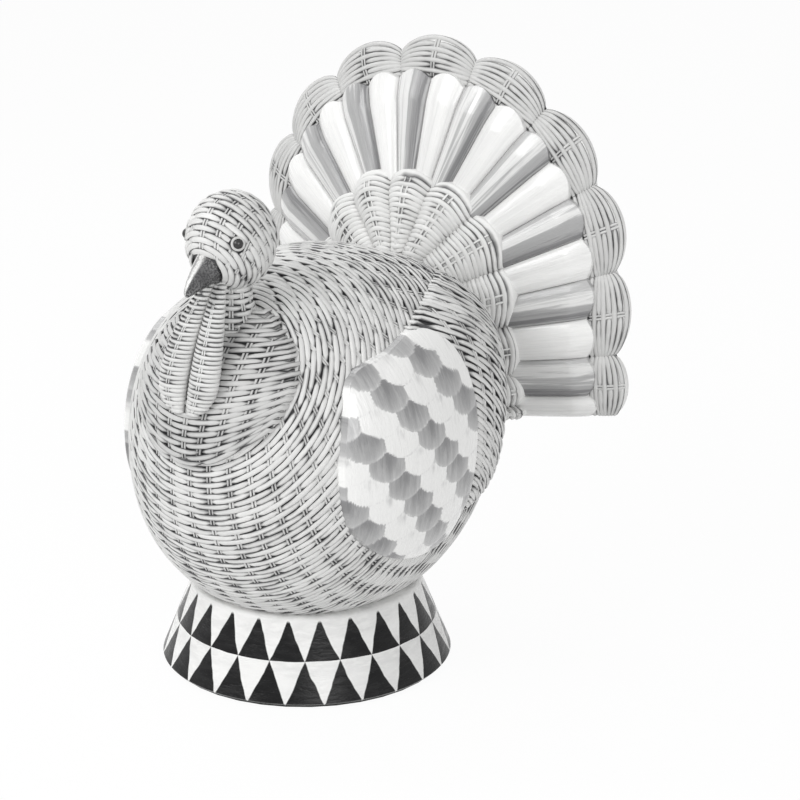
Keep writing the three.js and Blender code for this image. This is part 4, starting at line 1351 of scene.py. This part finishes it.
class TURKEY_OT_face(bpy.types.Operator):
    """Shape the beak, the bead eyes and their rims"""

    bl_idname = "turkey.face"
    bl_label = "Shape beak and eyes"

    ROOT = 0.3
    HOOK = 0.0015
    TIP_RADIUS = 0.001
    RIDGE_BOW = 0.52
    RIM_RADIUS = 0.0008
    RIM_PLACE = (EYE_RADIUS + 0.0002, 0, 0.0006)

    def beak(self, u, v):
        """A beak with flat sides, a bowed ridge above and a straight edge below."""
        turn = u * TURN
        share = self.ROOT + (1 - self.ROOT) * v
        taper = np.clip((1 - share) / (1 - self.ROOT), 0, 1)
        tip = np.sqrt(np.clip((1 - v) / 0.04, 0, 1))
        bow = np.where(np.sin(turn) > 0, self.RIDGE_BOW, 1.0)
        ridge = 1 - 0.5 * np.clip(np.sin(turn), 0, 1)
        across = (BEAK_HALF_WIDTH * taper ** 0.85 * ridge + self.TIP_RADIUS) * tip * np.cos(turn)
        rise = (BEAK_HALF_HEIGHT * taper ** bow + self.TIP_RADIUS) * tip * np.sin(turn)
        rise = rise - self.HOOK * share ** 3
        point = HEAD_CENTRE + np.outer(BEAK_LENGTH * share, BEAK_FORWARD) + np.outer(rise, BEAK_UP)
        point[:, 0] += across
        return point

    def eye(self, side, name, bead, rim):
        """One bead and the raised rim round it."""
        turn = Vector(eye_look(side)).to_track_quat("Z", "Y").to_matrix().to_4x4()
        seat = Matrix.Translation(Vector(eye_place(side))) @ turn
        bm = bmesh.new()
        bmesh.ops.create_uvsphere(bm, u_segments=20, v_segments=12, radius=EYE_RADIUS, matrix=seat)
        add_piece(name + "_bead", mesh_of(bm, name + "_bead"), bead, "eye", name)
        bm = bmesh.new()
        section = Matrix.Translation(self.RIM_PLACE) @ Matrix.Rotation(QUARTER, 4, "X")
        bmesh.ops.create_circle(bm, segments=10, radius=self.RIM_RADIUS, matrix=section)
        spin_round(bm, bm.verts[:] + bm.edges[:], 28)
        close(bm)
        bmesh.ops.transform(bm, matrix=seat, verts=bm.verts)
        add_piece(name + "_rim", mesh_of(bm, name + "_rim"), rim, "white_paint", "head")

    def execute(self, context):
        glaze = painted("beak_glaze", beak_paint, context.scene.turkey_paint)
        mesh = mesh_of(closed_grid(48, 28, self.beak), "beak_glazed")
        add_piece("beak_glazed", mesh, glaze, "beak", "beak")
        dark = (0.012, 0.012, 0.012)
        bead = painted("eye_bead", plain_paint, dark, (0.03, 0.03, 0.03), 900.0, 0.16)
        pale = (0.45, 0.45, 0.44)
        rim = painted("eye_rim", plain_paint, pale, (0.7, 0.7, 0.69), 1500.0, 0.45)
        self.eye(1, "eye_left", bead, rim)
        self.eye(-1, "eye_right", bead, rim)
        return {"FINISHED"}


class TURKEY_OT_wattles(bpy.types.Operator):
    """Weave the two lobes of the wattle"""

    bl_idname = "turkey.wattles"
    bl_label = "Weave wattles"

    RADIUS = 0.00118
    WAVE = 0.0004
    COURSES = 33
    POINTS = 30
    ROD = 0.0006
    ROD_TURN = 0.2
    INSIDE = 0.0002

    def lobe(self, wicker, side, name):
        """Rings down one lobe, and a stake pair down its front."""
        weave = Weave(wicker, 5 + side, self.RADIUS, self.WAVE, soft=0.1, tint=0.85)
        places = np.arange(self.POINTS) / self.POINTS * 2
        turns = (places - 0.5) * math.pi
        for row, share in enumerate(np.linspace(-0.12, 0.985, self.COURSES)):
            points = wattle_point(side, np.full(len(turns), share), turns, weave.depth)
            out = unit(points - points.mean(axis=0) + 1e-7)
            weave.course(points, out, places, row, closed=True, dip=0.12)
        along = np.linspace(0.1, 0.97, 24)
        front = np.tile(np.array([0, -1.0, 0]), (len(along), 1))
        for rod in ROD_PAIR:
            turn = np.full(len(along), rod * self.ROD_TURN - QUARTER)
            weave.stake(wattle_point(side, along, turn, weave.depth), front, radius=self.ROD)

        def place(u, v):
            return wattle_point(side, v, u * TURN, weave.depth + self.INSIDE)
        # Its dark inside is wash and painted shade.
        weave.add(name + "_weave", name, closed_grid(20, 30, place, 0.4))

    def execute(self, context):
        self.lobe(context.scene.turkey_wicker, 1, "wattle_left")
        self.lobe(context.scene.turkey_wicker, -1, "wattle_right")
        return {"FINISHED"}


class TURKEY_OT_wings(bpy.types.Operator):
    """Weave the wing rolls behind the painted panels"""

    bl_idname = "turkey.wings"
    bl_label = "Weave wings"

    RADIUS = 0.00155
    WAVE = 0.0007
    PITCH = 0.0034
    SPACING = 0.011
    DRIFT = 0.0002
    PAIR_SHARE = 0.8
    RISE = -0.42
    FALL = 1.25
    BEND = 0.008
    DIVE = 0.007
    SUNK = 0.009
    LEAST = 16

    def ridge(self, level):
        """Where the courses of a level turn down."""
        return 0.028 + 0.016 * ease(np.asarray(level), 0.15, 0.205)

    def course_line(self, level, y):
        """Height of a course: level in front of the ridge, falling behind it."""
        past = y - self.ridge(level)
        fall = self.BEND * np.logaddexp(0, past / self.BEND)
        return level + self.RISE * past - (self.FALL + self.RISE) * fall

    def shown(self, y, z):
        """Places on the wing that the panel leaves free."""
        return (WING.share(y, z) < 0.985) & (PANEL.share(y, z) > 0.955)

    def turned(self, depth, y, z, stakes):
        """A free run of a line over the wing, which turns down at the wing's rim."""
        dive = self.DIVE * (1 - ease(PANEL.share(y, z), 0.95, 1.0))
        share = WING.share(y, z)
        outer = [spot for spot in (0, -1) if share[spot] > 0.96 and dive[spot] == 0]
        return WING.over_rim(y, z, stakes, depth + dive, outer)

    def courses(self, weave):
        """Courses that cross the roll and sweep down behind its ridge."""
        levels = WING.rows(0.045, 0.09, 0.212, self.PITCH)
        levels = np.concatenate([levels, np.arange(0.2135, 0.28, self.PITCH * 1.1)])
        fine = np.arange(-0.05, 0.086, 0.0004)
        for row, level in enumerate(levels):
            for run in runs_of(self.shown(fine, self.course_line(level, fine))):
                if len(run) < self.LEAST:
                    continue
                places = spanned(*(fine[run[[0, -1]]] / self.SPACING), row)
                y = places * self.SPACING
                z = self.course_line(level, y) + weave.wander(places, self.DRIFT)
                points, normals, places = self.turned(weave.depth, y, z, places)
                behind = ease(places * self.SPACING - self.ridge(level), -0.004, 0.01)
                weave.course(points, normals, places, row, dip=0.25, thin=1 - 0.22 * behind)

    def stakes(self, weave):
        """Stake pairs that cross the courses."""
        levels = np.arange(0.08, 0.29, 0.0015)
        gap = weave.wicker.stake_pair_gap * self.PAIR_SHARE
        for number in range(-4, 9):
            for rod in ROD_PAIR:
                y = np.full(len(levels), number * self.SPACING + rod * gap)
                z = self.course_line(levels, y)
                for run in runs_of(self.shown(y, z)):
                    if len(run) < self.LEAST // 2:
                        continue
                    points, normals, _ = self.turned(weave.depth, y[run], z[run], levels[run])
                    weave.stake(points, normals)

    def ground(self, inset):
        """The inside of the roll, dark with wash and painted shade, sunk under the panel."""
        def sunk(y, z):
            return self.SUNK * (1 - ease(PANEL.share(y, z), 0.9, 0.98))

        def place(u, v):
            return WING.ground(u, v, inset, sunk)
        # The painted shade and wash of the inside lighten towards the rim.
        return closed_grid(96, 36, place, lambda u, v: 0.36 + 0.3 * ease(v, 0.7, 0.85))

    def execute(self, context):
        wicker = context.scene.turkey_wicker
        weave = Weave(wicker, 7, self.RADIUS, self.WAVE)
        self.courses(weave)
        self.stakes(weave)
        mesh = weave.add("wing_roll_left", "wing_left", self.ground(weave.depth + GROUND_DROP))
        other = mirrored_copy(mesh, "wing_roll_right")
        material = painted("woven_wicker", wicker_paint, wicker)
        add_piece("wing_roll_right", other, material, "wicker", "wing_right")
        return {"FINISHED"}


class TURKEY_OT_panels(bpy.types.Operator):
    """Shape the smooth wing panels and paint them with overlapping scallops"""

    bl_idname = "turkey.panels"
    bl_label = "Shape wing panels"

    STAND_PROUD = 0.0004
    WALL = 0.0055
    FACE = 0.93
    ROW_HEIGHT = 0.62
    ROW_REACH = 0.72
    ROW_START = 0.075
    COLUMN_START = 0.0045
    PLAIN_TONE = 0.3

    def scallops(self, y, z, width):
        """Darkness of overlapping scallops in rows: pale and grey ones in turn, darker at the root."""
        row_height = width * self.ROW_HEIGHT
        reach = width * self.ROW_REACH
        tone = np.full(len(y), self.PLAIN_TONE)
        for row in range(-2, 14):
            centre_z = self.ROW_START + row * row_height
            shifted = (y + self.COLUMN_START) / width + 0.5 * (row % 2)
            column = np.floor(shifted + 0.5)
            away = np.hypot((shifted - column) * width * 1.15, z - centre_z)
            covered = (away < reach) & (z < centre_z + row_height * 0.2)
            dark = (column + row // 2) % 2 > 0
            fade = np.clip(away / reach, 0, 1)
            rim = ease(fade, 0.86, 0.96)
            shade = np.where(dark, 0.95 - 0.45 * fade, 0.02 + 0.26 * (1 - fade) ** 2)
            shade = shade * (1 - rim) + np.where(dark, 0.42, 0.22) * rim
            tone = np.where(covered, shade, tone)
        return tone

    def place(self, u, v):
        """Points of the left panel's face, and of the wall down from its rim."""
        y, z = PANEL.spread(u, np.sin(np.minimum(v / self.FACE, 1) * QUARTER))
        wall = np.clip((v - self.FACE) / (1 - self.FACE), 0, 1)
        return PANEL.place(y, z, PANEL.height(y, z) + self.STAND_PROUD - self.WALL * wall)

    def execute(self, context):
        paint = context.scene.turkey_paint
        bm = closed_grid(240, 120, self.place, paint=lambda shares, points: points[:, 1:])
        mesh = mesh_of(bm, "wing_panel_left_painted")
        co = np.empty(len(mesh.vertices) * 3)
        mesh.vertices.foreach_get("co", co)
        tone = self.scallops(co[1::3], co[2::3], paint.scallop_width)
        layer = mesh.attributes.new("scallop", "FLOAT", "POINT")
        layer.data.foreach_set("value", tone.astype(np.float32))
        other = mirrored_copy(mesh, "wing_panel_right_painted")
        material = painted("panel_scallops", panel_paint, paint)
        add_piece("wing_panel_left_painted", mesh, material, "white_paint", "wing_panel_left")
        add_piece("wing_panel_right_painted", other, material, "white_paint", "wing_panel_right")
        return {"FINISHED"}


class TURKEY_OT_tail_plate(bpy.types.Operator):
    """Weave the scalloped tips and the back of the fan"""

    bl_idname = "turkey.tail_plate"
    bl_label = "Weave tail plate"

    RADIUS = 0.00132
    WAVE = 0.0004
    BACK_PITCH = 0.0027
    BACK_EDGE = 0.0016
    BACK_FIRST = 0.0014
    BACK_BAND = 0.02
    BACK_STAKES = 10
    BACK_STAKE_LENGTH = 0.09
    BACK_ROD_HEIGHT = 0.0001
    SPINE = (0.205, 0.1125)
    SPINE_HEIGHT = 0.0006
    TIP_RADIUS = 0.00146
    TIP_WAVE = 0.00055
    TIP_PITCH = 0.0029
    TIP_TUCK = 0.006
    TIP_MARGIN = 0.0009
    TIP_DRIFT = 0.0001
    TIP_PAIR_GAP = 0.0018
    TIP_ROD_HEIGHT = 0.0005
    TIP_FROM = 0.4

    def tips(self, weave):
        """Courses across each tip, arched with its edge, and a stake pair up its middle."""
        notches = list(range(-LAST_NOTCH, LAST_NOTCH + 1, 2))
        notches = [-FAN_END, *notches, FAN_END]
        across = np.linspace(-0.99, 0.99, 33)
        rise = np.linspace(-0.2, 0.94, 14)
        for first, last in zip(notches, notches[1:]):
            middle = (first + last) / 2
            k = middle + across * (last - first) / 2
            swell, reach = tip_at(k)
            crown = float(reach.max())
            levels = np.arange(TIP_START - self.TIP_TUCK, crown - self.TIP_MARGIN, self.TIP_PITCH)
            for row, level in enumerate(levels):
                grown = max(tip_share(level, crown), 0)
                along = level - (crown - reach) * grown + weave.wander(across, self.TIP_DRIFT)
                share = np.minimum(tip_share(along, reach), 0.985)
                points = fan_point(k, along, tip_front(share, swell) - weave.depth)
                thin = 1 - 0.4 * grown * (crown - reach) / (crown - TIP_START)
                weave.course(points, fan_normal(points), across * 0.8, row, dip=0.1, thin=thin)
            for rod in ROD_PAIR:
                line = np.full(len(rise), middle + rod * self.TIP_PAIR_GAP / FEATHER_WIDTH)
                swell, reach = tip_at(line)
                lift = tip_front(rise, swell) - weave.depth
                points = fan_point(line, TIP_START + rise * (reach - TIP_START), lift)
                weave.stake(points, fan_normal(points), self.TIP_ROD_HEIGHT)

    def back(self, weave):
        """Courses round the back of the fan, along its edge outside and in plain arches further in."""
        last = FAN_RADIUS + TIP_REACH - self.BACK_EDGE
        for row, level in enumerate(np.arange(self.BACK_FIRST, last, self.BACK_PITCH)):
            k = stations(-FAN_END, FAN_END, row)
            _, reach = tip_at(k)
            edge = np.clip(1 - level / self.BACK_BAND, 0, 1)
            along = TIP_REACH * (1 - edge) + reach * edge - self.BACK_EDGE - level
            share = tip_share(along, reach)
            points = fan_point(k, along, tip_back(np.clip(share, 0, TIP_LIMIT)) + weave.depth)
            normals = -fan_normal(points)
            shown = (share < 0.97) & (np.sign(points[:, 0]) * np.sign(k) >= 0)
            for run in runs_of(shown):
                weave.course(points[run], normals[run], k[run], row)

    def back_stakes(self, weave):
        """Stake pairs down the back of the fan, and a spine of three rods."""
        rise = np.linspace(0, 1, 40)
        for number in range(-self.BACK_STAKES, self.BACK_STAKES + 1):
            for rod in ROD_PAIR:
                line = number + rod * weave.wicker.stake_pair_gap / FEATHER_WIDTH
                k = np.full(len(rise), line)
                _, reach = tip_at(k)
                along = rise * (reach * 0.95 + self.BACK_STAKE_LENGTH) - self.BACK_STAKE_LENGTH
                share = np.clip(tip_share(along, reach), 0, TIP_LIMIT)
                points = fan_point(k, along, tip_back(share) + weave.depth)
                weave.stake(points, -fan_normal(points), self.BACK_ROD_HEIGHT)
        z = np.linspace(*self.SPINE, 30)
        for rod in (-1, 0, 1):
            x = np.full(len(z), rod * 2 * self.RADIUS)
            points = plate_point(x, z, tip_back(0.0) + weave.depth)
            weave.stake(points, -fan_normal(points), self.SPINE_HEIGHT, self.RADIUS)

    def ground(self, deep):
        """The plate below the weave, front and back in one sheet, and its two lower ends."""
        def level(k, v, front):
            x, z, dx, dz = edge_line(np.where(np.abs(k) < 1e-4, 1e-4, k))
            swell, reach = tip_at(k)
            share = np.clip((v - self.TIP_FROM) / (1 - self.TIP_FROM), 0, 1) ** 0.7
            inner = -x / dx
            root = inner + (TIP_START - inner) * np.clip(v / self.TIP_FROM, 0, 1)
            tip = TIP_START + share * (reach - TIP_START - GROUND_DROP)
            along = np.where(v < self.TIP_FROM, root, tip)
            sunk = deep * ease(v, 0.36, self.TIP_FROM) * (1 - share ** 4)
            front_lift = tip_front(share, swell * (v > self.TIP_FROM)) - sunk
            front_lift = np.where(v < 0.2, 0.0, front_lift)
            back_lift = np.minimum(tip_back(share) + deep * (1 - share), front_lift - 0.001)
            return plate_point(x + along * dx, z + along * dz, np.where(front, front_lift, back_lift))

        def sheet(u, v):
            front = v <= 0.5
            return level(FAN_END * (2 * u - 1), np.where(front, v, 1 - v) * 2, front)

        def left_end(u, v):
            k = np.full(len(u), FAN_END)
            face = level(k, v, True)
            return face + (level(k, v, False) - face) * u[:, None]

        def right_end(u, v):
            return left_end(u, v) * np.array([-1, 1, 1])
        # Pale at the rim and at the two ends, darker further in by painted shade and wash.
        bm = mapped_grid(176, 56, sheet, lambda u, v: 1 - 0.34 * ease(np.abs(v - 0.5), 0.02, 0.1))
        merge(bm, mapped_grid(1, 28, right_end, 0.9))
        merge(bm, mapped_grid(1, 28, left_end, 0.9))
        close(bm)
        return bm

    def execute(self, context):
        wicker = context.scene.turkey_wicker
        weave = Weave(wicker, 8, self.TIP_RADIUS, self.TIP_WAVE, soft=0.1, tint=0.72)
        self.tips(weave)
        weave.take_up(self.RADIUS, self.WAVE)
        self.back(weave)
        self.back_stakes(weave)
        weave.add("tail_plate", "tail_back", self.ground(weave.depth * 0.75))
        return {"FINISHED"}


class TURKEY_OT_coverts(bpy.types.Operator):
    """Weave the puffed coverts over the roots of the painted feathers"""

    bl_idname = "turkey.coverts"
    bl_label = "Weave coverts"

    RADIUS = 0.00152
    WAVE = 0.0006
    PITCH = 0.00285
    ACROSS = 21
    DRIFT = 0.003
    END_SHARE = 0.92
    END_DROP = 0.002
    FOOT_BACK = np.array([0, 0.0035, 0])
    FOOT_IN = 0.002
    ROD_ACROSS = 0.24
    ROD_HEIGHT = 0.0005

    def courses(self, weave, blade, outer):
        """Courses across a blade, with feet down to the fan except on an outer side."""
        middle = blade.middle
        length = float(blade.end(middle) + blade.bulge - blade.root(middle))
        across = np.sin(np.linspace(-1, 1, self.ACROSS) * QUARTER)
        reach = across * (1 if outer is None else self.END_SHARE)
        for row, share in enumerate(np.arange(0.03, 0.97, self.PITCH / length)):
            points = blade.place(reach, share + weave.wander(across, self.DRIFT), weave.depth)
            normals = fan_normal(points)
            stakes = 0.8 * across
            for spot in (0, -1):
                if spot == outer:
                    continue
                aside = unit(points[spot] - points[len(points) // 2])
                points[spot, 1] += self.END_DROP
                foot = points[spot] + self.FOOT_BACK - self.FOOT_IN * aside
                normals[spot] = unit(normals[spot] + aside)
                at = 0 if spot == 0 else len(points)
                points = np.insert(points, at, foot, axis=0)
                normals = np.insert(normals, at, aside, axis=0)
                stakes = np.insert(stakes, at, stakes[spot])
            weave.course(points, normals, stakes, row, dip=0.19)

    def covert(self, wicker, number):
        """One covert, counted from the middle."""
        blade = covert_blade(number)
        # The coverts' paler tint and lighter grooves are painted light.
        weave = Weave(wicker, 20 + number, self.RADIUS, self.WAVE, soft=0.2, tint=0.98)
        self.courses(weave, blade, {-COVERTS_PER_SIDE: 0, COVERTS_PER_SIDE: -1}.get(number))
        along = np.linspace(0.02, 0.93, 16)
        for rod in ROD_PAIR:
            points = blade.place(np.full(len(along), rod * self.ROD_ACROSS), along, weave.depth)
            weave.stake(points, fan_normal(points), self.ROD_HEIGHT)

        def place(u, v):
            share = np.sin(v * QUARTER)
            inset = weave.depth * 0.7 * (1 - ease(share, 0.95, 0.99))
            return blade.place(np.sin((u - 0.5) * math.pi), share, inset)
        # Paler towards the covert's end; further in, its ground is darkened by painted shade and wash.
        ground = blade_grid(place, lambda u, v: 0.72 + 0.22 * ease(v, 0.78, 0.9))
        order = f"{number + COVERTS_PER_SIDE + 1:02d}"
        weave.add("covert_" + order, "tail_covert_" + order, ground)

    def execute(self, context):
        for number in range(-COVERTS_PER_SIDE, COVERTS_PER_SIDE + 1):
            self.covert(context.scene.turkey_wicker, number)
        return {"FINISHED"}


class TURKEY_OT_feathers(bpy.types.Operator):
    """Shape the smooth feathers and paint them white and grey in turn"""

    bl_idname = "turkey.feathers"
    bl_label = "Shape feathers"

    UV_MARGIN = 0.002

    def feather(self, number):
        """The mesh of one feather, whose UVs have a place of their own."""
        blade = feather_blade(number)

        def place(u, v):
            return blade.place(np.sin((u - 0.5) * math.pi), np.sin(v * QUARTER))

        def paint(shares, points):
            return shares * (1 - 2 * self.UV_MARGIN, 1) + (self.UV_MARGIN + number, 0)
        return blade_grid(place, paint=paint)

    def execute(self, context):
        paint = context.scene.turkey_paint
        white = painted("feather_white", white_paint, paint)
        grey = painted("feather_grey", grey_paint, paint)
        for number in range(-FEATHERS_PER_SIDE, FEATHERS_PER_SIDE):
            order = f"{number + FEATHERS_PER_SIDE + 1:02d}"
            mesh = mesh_of(self.feather(number), "feather_" + order)
            if number % 2 == 0:
                add_piece("feather_" + order, mesh, white, "white_paint", "tail_feather_" + order)
            else:
                add_piece("feather_" + order, mesh, grey, "grey_paint", "tail_feather_" + order)
        return {"FINISHED"}


class TURKEY_OT_pedestal(bpy.types.Operator):
    """Turn the pedestal and paint its border; finish the pieces below and inside"""

    bl_idname = "turkey.pedestal"
    bl_label = "Turn pedestal"

    ROOF = BASE_FOOT_Z + 0.004
    FACETS = 120
    ROUND_STEPS = 6
    FINISHES = (
        ("felt_pad", (0.02, 0.022, 0.02), (0.06, 0.065, 0.06), 2600.0, 0.9, 0.0),
        ("plug_board", (0.1, 0.06, 0.035), (0.2, 0.12, 0.07), 1400.0, 0.7, 0.0),
        ("bolt_steel", (0.42, 0.43, 0.44), (0.6, 0.61, 0.62), 2200.0, 0.32, 1.0),
        ("dowel_wood", (0.42, 0.28, 0.15), (0.62, 0.45, 0.27), 600.0, 0.6, 0.0),
    )
    FINISHED_NODES = {
        "felt_pad": ("base_felt_pad",),
        "plug_board": ("base_plug",),
        "bolt_steel": ("base_bolt", "base_washer", "neck_pin"),
        "dowel_wood": ("tail_dowel_left", "tail_dowel_right"),
    }

    def profile(self):
        """Half the pedestal's section: foot, slanted side, rounded rim and dished deck."""
        taper = (BASE_FOOT_RADIUS - BASE_RIM_RADIUS) / (BASE_HEIGHT - BASE_FOOT_Z)
        shoulder = BASE_HEIGHT - BASE_RIM_ROUND
        outer = BASE_FOOT_RADIUS - taper * (shoulder - BASE_FOOT_Z)
        section = [(BASE_INNER_RADIUS, self.ROOF), (BASE_INNER_RADIUS, BASE_FOOT_Z)]
        section += [(BASE_FOOT_RADIUS - 0.001, BASE_FOOT_Z), (BASE_FOOT_RADIUS, BASE_FOOT_Z + 0.0012)]
        section.append((outer, shoulder))
        for step in range(1, self.ROUND_STEPS + 1):
            turn = step / self.ROUND_STEPS * QUARTER
            across = outer - BASE_RIM_ROUND * (1 - math.cos(turn))
            section.append((across, shoulder + BASE_RIM_ROUND * math.sin(turn)))
        section += [(0.05, BASE_HEIGHT), (0.02, BASE_HEIGHT - 0.0058), (0.0, BASE_HEIGHT - 0.006)]
        section.append((0.0, self.ROOF))
        return section

    def execute(self, context):
        bm = bmesh.new()
        verts = [bm.verts.new((across, 0, z)) for across, z in self.profile()]
        edges = [bm.edges.new(pair) for pair in zip(verts, verts[1:] + verts[:1])]
        spin_round(bm, verts + edges, self.FACETS)
        close(bm)
        mesh = mesh_of(bm, "pedestal_painted", math.radians(60))
        border = painted("pedestal_border", border_paint, context.scene.turkey_paint)
        add_piece("pedestal_painted", mesh, border, "base_paint", "base_pedestal")
        for name, *values in self.FINISHES:
            finish = painted(name, plain_paint, *values)
            for node in self.FINISHED_NODES[name]:
                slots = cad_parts[node].data.materials
                slots.clear()
                slots.append(finish)
        return {"FINISHED"}


class TURKEY_OT_stage(bpy.types.Operator):
    """Set the floor, the studio light and the camera"""

    bl_idname = "turkey.stage"
    bl_label = "Set stage"

    FLOOR_HALF = 6.0
    FLOOR_GLOW = 0.95
    WHITE = (1, 1, 1, 1)
    LIT_POINT = Vector((0, 0, 0.17))
    KEY_PLACE = Vector((-0.45, -1.3, 1.15))
    FILL_PLACE = Vector((1.3, -1.0, 0.85))
    TOP_PLACE = Vector((-0.85, 0.2, 1.4))

    def seen(self, nodes):
        """One where the camera sees a place itself, in a reflection or through glass."""
        path = nodes.add("ShaderNodeLightPath").outputs
        seen = nodes.calc("MAXIMUM", path["Is Camera Ray"], path["Is Glossy Ray"])
        return nodes.calc("MAXIMUM", seen, path["Is Transmission Ray"])

    def floor(self):
        """A pale floor that keeps the shadow and runs white for the camera."""
        bm = bmesh.new()
        bmesh.ops.create_grid(bm, x_segments=8, y_segments=8, size=self.FLOOR_HALF)
        floor = bpy.data.objects.new("studio_floor", mesh_of(bm, "studio_floor"))
        bpy.context.scene.collection.objects.link(floor)
        box = Paintbox("studio_floor")
        grain = box.group(cast_grain(), Place=box.place(), Scale=60.0)
        box.set(Base_Color=box.mix(grain["Grain"], (0.9, 0.9, 0.9), (0.94, 0.94, 0.94)))
        box.set(Roughness=0.9)
        glow = box.add("ShaderNodeEmission", Color=self.WHITE, Strength=1.0)
        seen = box.calc("MULTIPLY", self.seen(box), self.FLOOR_GLOW)
        box.mix_shaders(seen, box.shader, glow, "Material Output")
        floor.data.materials.append(box.material)

    def world(self, ambient):
        """Even light, and white behind the object."""
        world = bpy.data.worlds.new("studio")
        world.use_nodes = True
        nodes = Nodes(world.node_tree)
        even = world.node_tree.nodes["Background"]
        even.inputs["Color"].default_value = self.WHITE
        even.inputs["Strength"].default_value = ambient
        white = nodes.add("ShaderNodeBackground", Color=self.WHITE, Strength=1.0)
        nodes.mix_shaders(self.seen(nodes), even, white, "World Output")
        bpy.context.scene.world = world

    def aim(self, name, data, place, target):
        """Puts a lamp or camera in its place, turned to a target."""
        item = bpy.data.objects.new(name, data)
        item.location = place
        item.rotation_euler = (target - place).to_track_quat("-Z", "Y").to_euler()
        bpy.context.scene.collection.objects.link(item)
        return item

    def lamp(self, name, place, size, power):
        """A large soft lamp that points at the object."""
        data = bpy.data.lights.new(name, "AREA")
        data.shape = "RECTANGLE"
        data.size = size
        data.size_y = size
        data.energy = power
        self.aim(name, data, place, self.LIT_POINT)

    def execute(self, context):
        stage = context.scene.turkey_stage
        self.floor()
        self.world(stage.ambient)
        self.lamp("key_light", self.KEY_PLACE, 1.0, stage.key_power)
        self.lamp("fill_light", self.FILL_PLACE, 0.9, stage.fill_power)
        self.lamp("top_light", self.TOP_PLACE, 0.9, stage.top_power)
        data = bpy.data.cameras.new("camera")
        data.lens = stage.lens
        data.sensor_width = 36.0
        camera = self.aim("camera", data, Vector(stage.camera_place), Vector(stage.camera_target))
        context.scene.camera = camera
        context.scene.view_settings.view_transform = "Standard"
        return {"FINISHED"}


STEPS = (
    TURKEY_OT_stage, TURKEY_OT_pedestal, TURKEY_OT_body, TURKEY_OT_bib, TURKEY_OT_head, TURKEY_OT_face,
    TURKEY_OT_wattles, TURKEY_OT_wings, TURKEY_OT_panels, TURKEY_OT_tail_plate, TURKEY_OT_coverts,
    TURKEY_OT_feathers,
)


class TURKEY_PT_panel(bpy.types.Panel):
    """Steps of the turkey figure"""

    bl_idname = "TURKEY_PT_panel"
    bl_label = "Turkey figure"
    bl_space_type = "VIEW_3D"
    bl_region_type = "UI"
    bl_category = "Turkey"

    def draw(self, context):
        scene = context.scene
        for settings in (scene.turkey_wicker, scene.turkey_paint, scene.turkey_stage):
            box = self.layout.box()
            for name in settings.__annotations__:
                box.prop(settings, name)
        for step in STEPS:
            self.layout.operator(step.bl_idname)


CLASSES = (WickerSettings, PaintSettings, StageSettings, *STEPS, TURKEY_PT_panel)


def register():
    for item in CLASSES:
        bpy.utils.register_class(item)
    bpy.types.Scene.turkey_wicker = PointerProperty(type=WickerSettings)
    bpy.types.Scene.turkey_paint = PointerProperty(type=PaintSettings)
    bpy.types.Scene.turkey_stage = PointerProperty(type=StageSettings)


def unregister():
    del bpy.types.Scene.turkey_stage
    del bpy.types.Scene.turkey_paint
    del bpy.types.Scene.turkey_wicker
    for item in reversed(CLASSES):
        bpy.utils.unregister_class(item)


def main():
    """Builds the figure step by step."""
    register()
    bpy.ops.turkey.stage()
    bpy.ops.turkey.pedestal()
    bpy.ops.turkey.body()
    bpy.ops.turkey.bib()
    bpy.ops.turkey.head()
    bpy.ops.turkey.face()
    bpy.ops.turkey.wattles()
    bpy.ops.turkey.wings()
    bpy.ops.turkey.panels()
    bpy.ops.turkey.tail_plate()
    bpy.ops.turkey.coverts()
    bpy.ops.turkey.feathers()


if __name__ == "__main__":
    main()
